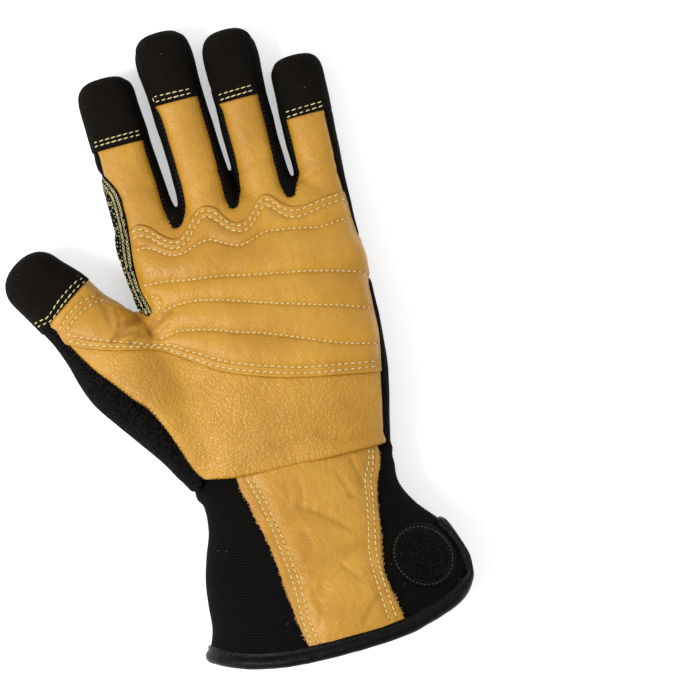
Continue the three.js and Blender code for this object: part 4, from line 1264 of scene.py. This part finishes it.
# each: its name, rows and surface, its pitch, length, thickness, slant, sink and start, its node and thread
stitching = [
    ("overlay_edge_stitches", double_rows, "overlay", (2.9, 2.2, THREAD, 0.12), "palm_overlay", "cream"),
    ("quilting_stitches", single_rows, "overlay", (2.35, 1.7, THREAD, 0.16), "palm_overlay", "cream"),
    ("cap_stitches", cap_rows, "caps", (2.75, 2.15, THREAD, 0.1), "fingertip_middle", "cream"),
    ("cuff_panel_stitches", cuff_rows_of_stitches, "cuff", (2.6, 2.1, 0.56, 0.1, -0.08), "cuff_panel",
     "cream"),
    ("seam_stitches", seam_rows, "seams", (1.9, 1.5, 0.5, 1.15), "palm_leather", "black"),
    ("binding_stitches", [binding_row], "binding", (2.4, 1.9, 0.45), "cuff_binding", "black"),
    ("patch_stitches", [patch_ring], "patch", (1.7, 1.3, 0.32), "hook_patch", "grey"),
    # the last three rows are dark beads of painted shade at the needle holes
    ("needle_hole_shades_0", double_rows, "overlay", (2.9, *HOLE_SHADE), "palm_overlay", "hole_shade"),
    ("needle_hole_shades_1", single_rows, "overlay", (2.35, *HOLE_SHADE), "palm_overlay", "hole_shade"),
    ("needle_hole_shades_2", cuff_rows_of_stitches, "cuff", (2.6, *HOLE_SHADE), "cuff_panel", "hole_shade"),
]
threads = [(sew(name, rows, trees[under], *sizes), node, kind)
           for name, rows, under, sizes, node, kind in stitching]
print({obj.name: len(obj.data.polygons) for obj, _, _ in threads})

# %% [markdown]
# The index finger's side panel is a heavy knit of mixed yarn. Its stitches are small Vs that stand in
# columns along the leather's seam. So the columns are laid out by walking over the panel away from that
# seam, and each leg of each V is one copy of a short yarn.

# %% The yarn of the knit panel
WALE, COURSE, YARN, LEG_TILT = 2.1, 1.5, 0.42, 0.4
WALK_STEP, WALK_LENGTH = 0.3, 30.0
FIRST_COLUMN, BRIGHT_COLUMNS = 5, 2
PALE_SHARE, DOT_SHARE = 0.96, 0.5  # near the leather the Vs are pale, and beyond them only dots
knit_tree = surface_of(panels["knit_side"])
knit_edge = smooth_line(KNIT_SEAM, 0.5)[::-1]
run = np.append(0, np.cumsum(np.linalg.norm(np.diff(knit_edge, axis=0), axis=1)))
place = point_at(knit_edge, run, np.arange(0, run[-1], COURSE))
place, lift = onto(knit_tree, np.hstack([place, drop([hand_tree], place)[0][:, 2:]]))
columns = []
for k in range(int(WALK_LENGTH / WALK_STEP)):
    forward = unit(np.gradient(place, axis=0))
    outward = unit(np.cross(lift, forward))
    if k % round(WALE / WALK_STEP) == FIRST_COLUMN:
        columns.append((place, forward, lift))
    place, lift = onto(knit_tree, place + outward * WALK_STEP)
centres, axes, pale = [], [], []
for k, (place, forward, up) in enumerate(columns):
    side = np.cross(up, forward)
    shift = place + 0.15 * WALE * np.sin(k * 2.1) * forward
    inside = knit_field(shift) > 0.2
    for leg in (-1, 1):
        lean = unit(forward * math.cos(LEG_TILT) + leg * side * math.sin(LEG_TILT))
        dots = k >= BRIGHT_COLUMNS
        share = DOT_SHARE if dots else PALE_SHARE
        tone = (rng.random(len(shift)) < share) * rng.uniform(0.6, 1, len(shift))
        size = np.where(dots & (tone > 0), 0.5, 1.2)[:, None] * COURSE
        centres.append((shift + leg * side * WALE * 0.14 + 0.2 * up)[inside])
        axes.append(np.stack([lean * size, np.cross(up, lean) * YARN, up * YARN], 1)[inside])
        pale.append(tone[inside])
centres, axes, pale = np.vstack(centres), np.vstack(axes), np.concatenate(pale)
yarn_form = thread_form("yarn_form", rings=5, sides=5, dive=0.7)
knit_yarn = copies(yarn_form, "knit_yarn", centres, axes)
shade(knit_yarn, np.repeat(pale, len(yarn_form.data.vertices)))
bpy.data.objects.remove(yarn_form)
print("knit yarn", len(centres), "legs in", len(columns), "columns")

# %% [markdown]
# Two small things finish the look up close: fibres that stick out of the cuff panel's raw edges, and the
# hooks of the patch.

# %% Fibres and hooks
FIBRES, FIBRE_THICK = 420, 0.17
HOOKS, HOOK_LENGTH, HOOK_THICK = 900, 1.1, 0.3
raw_edges = [np.stack([CUFF_PANEL[side], CUFF_PANEL["y"]], 1) for side in ("left", "right")]
raw_lines = [smooth_line(edge, 0.5) for edge in raw_edges]
spots = np.vstack([line[rng.integers(12, len(line) - 8, FIBRES // 2)] for line in raw_lines])
spots = spots + rng.normal(0, 0.25, spots.shape)
at, up = drop(trees["cuff"], spots)
good = np.isfinite(at).all(1)
at, up = at[good], up[good]
outward = np.where(at[:, :1] > 5, 1.0, -1.0) * np.cross([0.0, 1.0, 0.0], up)
lean = unit(rng.normal(0, 1, at.shape) + 0.3 * up + 1.1 * outward)
side = unit(np.cross(up, lean))
length = rng.uniform(0.9, 2.1, (len(at), 1))
axes = np.stack([lean * length, side * FIBRE_THICK, np.cross(lean, side) * FIBRE_THICK], 1)
fibres = copies(stitch, "panel_edge_fibres", at - 0.3 * up + 0.3 * outward, axes)
ring = np.sqrt(rng.random(HOOKS)) * (PATCH_RADIUS - 2.2)
at, up = drop(trees["patch"], patch_point(ring, rng.uniform(0, 2 * np.pi, HOOKS))[0][:, :2])
lean = unit(up + 0.9 * rng.normal(0, 1, at.shape))
side = unit(np.cross(lean, rng.normal(0, 1, at.shape)))
axes = np.stack([lean * HOOK_LENGTH, side * HOOK_THICK, np.cross(lean, side) * HOOK_THICK], 1)
hooks = copies(stitch, "patch_hooks", at + 0.15 * up, axes)
shade(hooks, np.repeat(rng.random(len(at)) ** 3, len(stitch.data.vertices)))
print("fibres and hooks", len(fibres.data.polygons), len(hooks.data.polygons))

# %% [markdown]
# ## Finishes
# A finish is a small set of nodes. Every pattern reads Object coordinates in metres, so its scale is one
# over the size of its grain.

# %% Helpers for materials
class Finish:
    """A material with a shader, and short names for the nodes that glove finishes need."""

    def __init__(self, name, colour, roughness, specular=0.5, sheen=0.0):
        self.material = bpy.data.materials.new(name)
        self.material.use_nodes = True
        self.tree = self.material.node_tree
        self.shader = self.tree.nodes["Principled BSDF"]
        self.set("Base Color", (*colour, 1))
        self.set("Roughness", roughness)
        self.set("Specular IOR Level", specular)
        self.set("Sheen Weight", sheen)
        self.place = self.add("ShaderNodeTexCoord").outputs["Object"]

    def set(self, socket, value):
        self.shader.inputs[socket].default_value = value

    def link(self, value, socket):
        if isinstance(value, bpy.types.NodeSocket):
            self.tree.links.new(value, socket)
        elif value is not None:
            socket.default_value = value

    def add(self, kind, inputs=None, **settings):
        node = self.tree.nodes.new(kind)
        for key, value in settings.items():
            setattr(node, key, value)
        for key, value in (inputs or {}).items():
            self.link(value, node.inputs[key])
        return node

    def noise(self, size, detail=2.0, place=None, distortion=0.0):
        """Smooth noise with features of size metres."""
        return self.add("ShaderNodeTexNoise", {"Vector": place or self.place, "Scale": 1 / size,
                                               "Detail": detail, "Distortion": distortion}).outputs[0]

    def cells(self, size, feature="F1", place=None, output="Distance"):
        """Distances in a pattern of cells of size metres."""
        return self.add("ShaderNodeTexVoronoi", {"Vector": place or self.place, "Scale": 1 / size},
                        feature=feature).outputs[output]

    def shade(self):
        """The shade that was stored in the mesh at each point."""
        return self.add("ShaderNodeAttribute", attribute_name="shade").outputs["Fac"]

    def stretch(self, scale, turn=0.0):
        """The place with its axes stretched."""
        return self.add("ShaderNodeMapping", {"Vector": self.place, "Scale": scale,
                                              "Rotation": (0, 0, turn)}).outputs[0]

    def warped(self, size, amount):
        """The place pushed about by noise, so that a pattern isn't regular."""
        push = self.add("ShaderNodeTexNoise", {"Vector": self.place, "Scale": 1 / size}).outputs["Color"]
        centred = self.add("ShaderNodeVectorMath", {0: push, 1: (0.5, 0.5, 0.5)}, operation="SUBTRACT")
        scaled = self.add("ShaderNodeVectorMath", {0: centred.outputs[0], "Scale": amount},
                          operation="SCALE")
        return self.add("ShaderNodeVectorMath", {0: self.place, 1: scaled.outputs[0]}).outputs[0]

    def ramp(self, value, low, high, start=0.0, end=1.0):
        """The value mapped from low..high to start..end."""
        return self.add("ShaderNodeMapRange", {"Value": value, "From Min": low, "From Max": high,
                                               "To Min": start, "To Max": end}).outputs[0]

    def maths(self, operation, a, b):
        return self.add("ShaderNodeMath", {0: a, 1: b}, operation=operation).outputs[0]

    def mix(self, share, a, b):
        """Colour b over colour a by a share."""
        node = self.add("ShaderNodeMix", data_type="RGBA")
        self.link(share, node.inputs[0])
        self.link(a if isinstance(a, bpy.types.NodeSocket) else (*a, 1), node.inputs[6])
        self.link(b if isinstance(b, bpy.types.NodeSocket) else (*b, 1), node.inputs[7])
        return node.outputs[2]

    def bump(self, height, depth, before=None):
        """Bump of depth metres, on top of the bump before."""
        inputs = {"Height": height, "Distance": depth, "Strength": 1.0}
        if before is not None:
            inputs["Normal"] = before
        return self.add("ShaderNodeBump", inputs).outputs[0]

    def finish(self, colour=None, roughness=None, normal=None):
        for value, socket in ((colour, "Base Color"), (roughness, "Roughness"), (normal, "Normal")):
            self.link(value, self.shader.inputs[socket])
        return self.material


print("finish helper ready")

# %% Tan leather
TAN, TAN_LIGHT, TAN_DARK, TAN_CREASE_SHADE = ((0.49, 0.24, 0.017), (0.56, 0.29, 0.028), (0.39, 0.175, 0.011),
                                        (0.25, 0.095, 0.008))


def tan_leather(name, grain, depth, creased=0.0, heel_only=None, shine=(0.48, 0.34)):
    """Grain leather: pebbles between fine furrows, mottled colour, and painted shade that darkens the
    creases and grooves.
    """
    f = Finish(name, TAN, 0.4, 0.42)
    place = f.warped(0.004, 0.0012)
    furrows = f.ramp(f.cells(grain, "DISTANCE_TO_EDGE", place), 0.0, 0.2)
    pebbles = f.cells(grain, "SMOOTH_F1", place)
    fine = f.noise(0.00035, 3)
    mottle = f.ramp(f.noise(0.011, 3), 0.3, 0.7)
    colour = f.mix(mottle, TAN, TAN_LIGHT)
    colour = f.mix(f.ramp(f.noise(0.03, 2), 0.42, 0.62, 0, 0.5), colour, TAN_DARK)
    colour = f.mix(f.ramp(furrows, 0, 1, 0.3, 0), colour, TAN_DARK)
    # painted shade: the shade kept in the mesh darkens the leather towards the crease shade colour
    colour = f.mix(f.shade(), colour, TAN_CREASE_SHADE)
    along = f.add("ShaderNodeSeparateXYZ", {"Vector": f.place}).outputs[1]
    heel = f.ramp(along, *heel_only) if heel_only else 1.0
    normal = f.bump(f.noise(0.0028, 2), depth * 1.2)
    normal = f.bump(f.maths("MULTIPLY", pebbles, heel), -depth, normal)
    normal = f.bump(f.maths("MULTIPLY", furrows, heel), depth * 0.35, normal)
    normal = f.bump(fine, depth * 0.25, normal)
    if creased:
        folds = f.noise(0.006, 2, f.stretch((1, 0.6, 1), 0.6), 0.6)
        normal = f.bump(folds, creased, normal)
    dull = f.maths("MULTIPLY", f.maths("SUBTRACT", 1.0, heel), 0.25)
    roughness = f.maths("ADD", f.ramp(f.noise(0.002, 2), 0.3, 0.7, *shine), dull)
    return f.finish(colour, roughness, normal)


palm_tan = tan_leather("palm_tan", 0.0014, 0.00028, 0.0, (-0.01, 0.03, 1.0, 0.4), (0.42, 0.26))
overlay_tan = tan_leather("overlay_tan", 0.0012, 0.00013)
cuff_tan = tan_leather("cuff_tan", 0.0012, 0.00014, 0.0007)
print("tan leathers ready")

# %% Black finishes
def specked(f, colour, share=0.5):
    """Sparse pale lint over a colour."""
    spots = f.cells(0.0035, "F1")
    which = f.cells(0.0035, "F1", output="Color")
    chosen = f.ramp(f.add("ShaderNodeSeparateColor", {"Color": which}).outputs[0], 0.8, 0.81)
    spot = f.ramp(spots, 0.075, 0.05)
    return f.mix(f.maths("MULTIPLY", f.maths("MULTIPLY", spot, chosen), share), colour, (0.28, 0.2, 0.09))


def black_suede():
    f = Finish("black_suede", (0.004, 0.0033, 0.0026), 0.9, 0.06)
    nap = f.ramp(f.noise(0.0006, 4), 0.35, 0.7)
    colour = f.mix(nap, (0.0022, 0.0018, 0.0014), (0.0095, 0.0072, 0.0052))
    colour = f.mix(f.ramp(f.noise(0.009, 2), 0.4, 0.7, 0, 0.4), colour, (0.0075, 0.006, 0.0045))
    return f.finish(specked(f, colour), 0.9, f.bump(f.noise(0.0005, 3), 0.00015))


def stretch_cloth():
    tone = 0.0028
    f = Finish("stretch_cloth", (tone,) * 3, 0.85, 0.06)
    ribs = f.add("ShaderNodeTexWave", {"Vector": f.place, "Scale": 1 / 0.0045, "Distortion": 1.2,
                                       "Detail": 2.0, "Detail Scale": 2.0}, bands_direction="X").outputs[1]
    colour = f.mix(ribs, (tone * 0.6,) * 3, (tone * 1.7, tone * 1.55, tone * 1.4))
    return f.finish(specked(f, colour), 0.85, f.bump(ribs, 0.00012, f.bump(f.noise(0.0004, 3), 0.0001)))


def terry_cloth():
    f = Finish("terry_cloth", (0.004, 0.0036, 0.003), 0.95, 0.05)
    loops = f.cells(0.001, "F1", f.warped(0.002, 0.0006))
    colour = f.mix(f.ramp(loops, 0.1, 0.7), (0.0125, 0.011, 0.0092), (0.0012, 0.001, 0.0008))
    normal = f.bump(loops, -0.0009, f.bump(f.noise(0.003, 3), 0.0008))
    return f.finish(specked(f, colour, 0.9), 0.95, normal)


def rib_knit():
    f = Finish("rib_knit", (0.003, 0.0028, 0.0026), 0.85, 0.06)
    yarn = f.noise(0.0007, 2, f.stretch((1, 2.2, 1)))
    # painted shade: darker in the grooves between the ribs, from the shade kept in the sleeve
    rib_shade = f.shade()
    colour = f.mix(f.ramp(yarn, 0.35, 0.65), (0.003, 0.0027, 0.0024), (0.0085, 0.0078, 0.0068))
    colour = f.mix(rib_shade, (0.0012, 0.0011, 0.001), colour)
    return f.finish(specked(f, colour), 0.85, f.bump(yarn, 0.00025))


def binding_leather():
    f = Finish("binding_leather", (0.002, 0.0018, 0.0016), 0.4, 0.11)
    place = f.warped(0.003, 0.001)
    cells = f.ramp(f.cells(0.0009, "DISTANCE_TO_EDGE", place), 0, 0.16)
    colour = f.mix(f.ramp(f.noise(0.002, 3), 0.4, 0.7), (0.0014, 0.0012, 0.001), (0.0045, 0.0038, 0.003))
    normal = f.bump(cells, 0.00004, f.bump(f.noise(0.0035, 2), 0.00025))
    return f.finish(colour, f.ramp(f.noise(0.0015, 3), 0.3, 0.7, 0.27, 0.44), normal)


def hook_tape():
    f = Finish("hook_tape", (0.002, 0.002, 0.002), 0.7, 0.08)
    knots = f.cells(0.0011, "F1", f.warped(0.002, 0.0007))
    colour = f.mix(f.ramp(knots, 0.15, 0.6), (0.005, 0.0047, 0.004), (0.0009, 0.0009, 0.0009))
    return f.finish(colour, 0.6, f.bump(knots, -0.0006))


def thread(name, colour):
    f = Finish(name, colour, 0.6, 0.3, 0.1)
    twist = f.noise(0.0004, 2)
    dark = tuple(c * 0.7 for c in colour)
    return f.finish(f.mix(f.ramp(twist, 0.35, 0.65), dark, colour), 0.6, f.bump(twist, 0.00012))


def heather_yarn():
    """Pale and black yarn, chosen by each loop's own shade."""
    f = Finish("heather_yarn", (0.3, 0.26, 0.1), 0.8, 0.15)
    pale = f.shade()
    plies = f.ramp(f.noise(0.0005, 2), 0.4, 0.6)
    light = f.mix(plies, (0.54, 0.48, 0.22), (0.88, 0.81, 0.45))
    return f.finish(f.mix(pale, (0.004, 0.004, 0.003), light), 0.8, f.bump(plies, 0.0002))


def hook_wire():
    f = Finish("hook_wire", (0.004, 0.004, 0.004), 0.45, 0.12)
    bright = f.shade()
    return f.finish(f.mix(bright, (0.0008, 0.0008, 0.0008), (0.02, 0.019, 0.016)), 0.45)


# the hole thread is a dark brown that paints the shade in the needle holes
THREADS = {
    "cream": ("cream_thread", (0.84, 0.7, 0.31)), "black": ("black_thread", (0.004,) * 3),
    "grey": ("grey_thread", (0.09, 0.085, 0.07)), "hole_shade": ("needle_hole_shade", (0.2, 0.08, 0.011)),
    "tan": ("leather_fibre", (0.62, 0.36, 0.09))}
thread_finish = {kind: thread(*look) for kind, look in THREADS.items()}
cloth = stretch_cloth()
finish_of = {"tan_leather": palm_tan, "black_suede": black_suede(), "back_cloth": cloth,
             "thumb_cloth": terry_cloth(), "heather_knit": cloth, "ribbed_knit": rib_knit(),
             "binding_leather": binding_leather(), "hook_tape": hook_tape()}
print("finishes ready", len(thread_finish) + len(finish_of))

# %% Dress the pieces and ride them on the frame
SLOTS = {"palm_leather": "tan_leather", "palm_overlay": "tan_leather", "cuff_panel": "tan_leather",
         "hand_back": "back_cloth", "knit_side": "heather_knit", "thumb_side": "thumb_cloth",
         "cuff_knit": "ribbed_knit", "cuff_binding": "binding_leather", "hook_patch": "hook_tape"}


def dress(piece, node, finish=None):
    """Gives a piece its finish and its place in the frame."""
    slot = "black_suede" if "tip" in node else "back_cloth" if "strip" in node else SLOTS[node]
    piece.data.materials.clear()
    piece.data.materials.append(finish or finish_of[slot])
    alone(piece)
    bpy.ops.object.shade_smooth()
    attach(piece, "root")
    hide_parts(node)


for node, panel in panels.items():
    dress(panel, node)
dress(overlay, "palm_overlay", overlay_tan)
dress(sleeve, "cuff_knit")
dress(binding, "cuff_binding")
dress(cuff_panel, "cuff_panel", cuff_tan)
dress(patch, "hook_patch")
for obj, node, kind in threads:
    dress(obj, node, thread_finish[kind])
dress(knit_yarn, "knit_side", heather_yarn())
dress(fibres, "cuff_panel", thread_finish["tan"])
dress(hooks, "hook_patch", hook_wire())
for leftover in (hand_form, cuff_form, stitch):
    bpy.data.objects.remove(leftover)
print("pieces dressed")

# %% [markdown]
# ## Floor, light and camera
# The floor is pale and plain. A soft light from the thumb's side brings out the grain of the heel, and a
# weaker one comes from the fingers. The camera looks straight down, turned so that the fingers lean to the
# left.

# %% Floor, light and camera
PHOTO_MM_PER_PIXEL, PHOTO_PIXELS, PHOTO_TURN = 0.43, 700, math.radians(15)
PHOTO_CENTRE = np.array([36.0, -11.9, 0.0])
CAMERA_HEIGHT, MIDDLE_HEIGHT, SENSOR = 3.0, 0.024, 36
SKY_LIGHT, FLOOR_GLOW = 0.62, 0.45


def floor_finish():
    f = Finish("pale_floor", (0.9, 0.9, 0.9), 0.8, 0.1)
    f.set("Emission Color", (1, 1, 1, 1))
    f.set("Emission Strength", FLOOR_GLOW)
    return f.finish(f.mix(f.noise(0.3, 2), (0.9, 0.9, 0.9), (0.92, 0.92, 0.92)))


alone()
bpy.ops.mesh.primitive_plane_add(size=4)
floor = bpy.context.object
floor.name = "floor"
floor.data.materials.append(floor_finish())

aim = (PHOTO_CENTRE - CENTRE) * MM
camera_data = bpy.data.cameras.new("camera")
camera = bpy.data.objects.new("camera", camera_data)
bpy.context.scene.collection.objects.link(camera)
camera.location = (aim[0], aim[1], CAMERA_HEIGHT)
camera.rotation_euler = (0, 0, -PHOTO_TURN)
camera_data.sensor_width = SENSOR
camera_data.lens = SENSOR * (CAMERA_HEIGHT - MIDDLE_HEIGHT) / (PHOTO_PIXELS * PHOTO_MM_PER_PIXEL * MM)
bpy.context.scene.camera = camera

world = bpy.data.worlds.new("studio")
bpy.context.scene.world = world
world.use_nodes = True
sky = world.node_tree.nodes["Background"]
sky.inputs["Color"].default_value = (1, 1, 1, 1)
sky.inputs["Strength"].default_value = SKY_LIGHT


def area_light(name, place, size, power):
    bpy.ops.object.light_add(type="AREA", location=place)
    light = bpy.context.object
    light.name = name
    light.data.energy = power
    light.data.size = size
    light.rotation_euler = (-light.location).to_track_quat("-Z", "Y").to_euler()


area_light("key", (-0.95, -0.12, 1.1), 0.6, 17)
area_light("fill", (0.5, 0.7, 1.3), 1.0, 3.5)
bpy.context.scene.view_settings.view_transform = "Standard"
print("camera lens", round(camera_data.lens, 1))
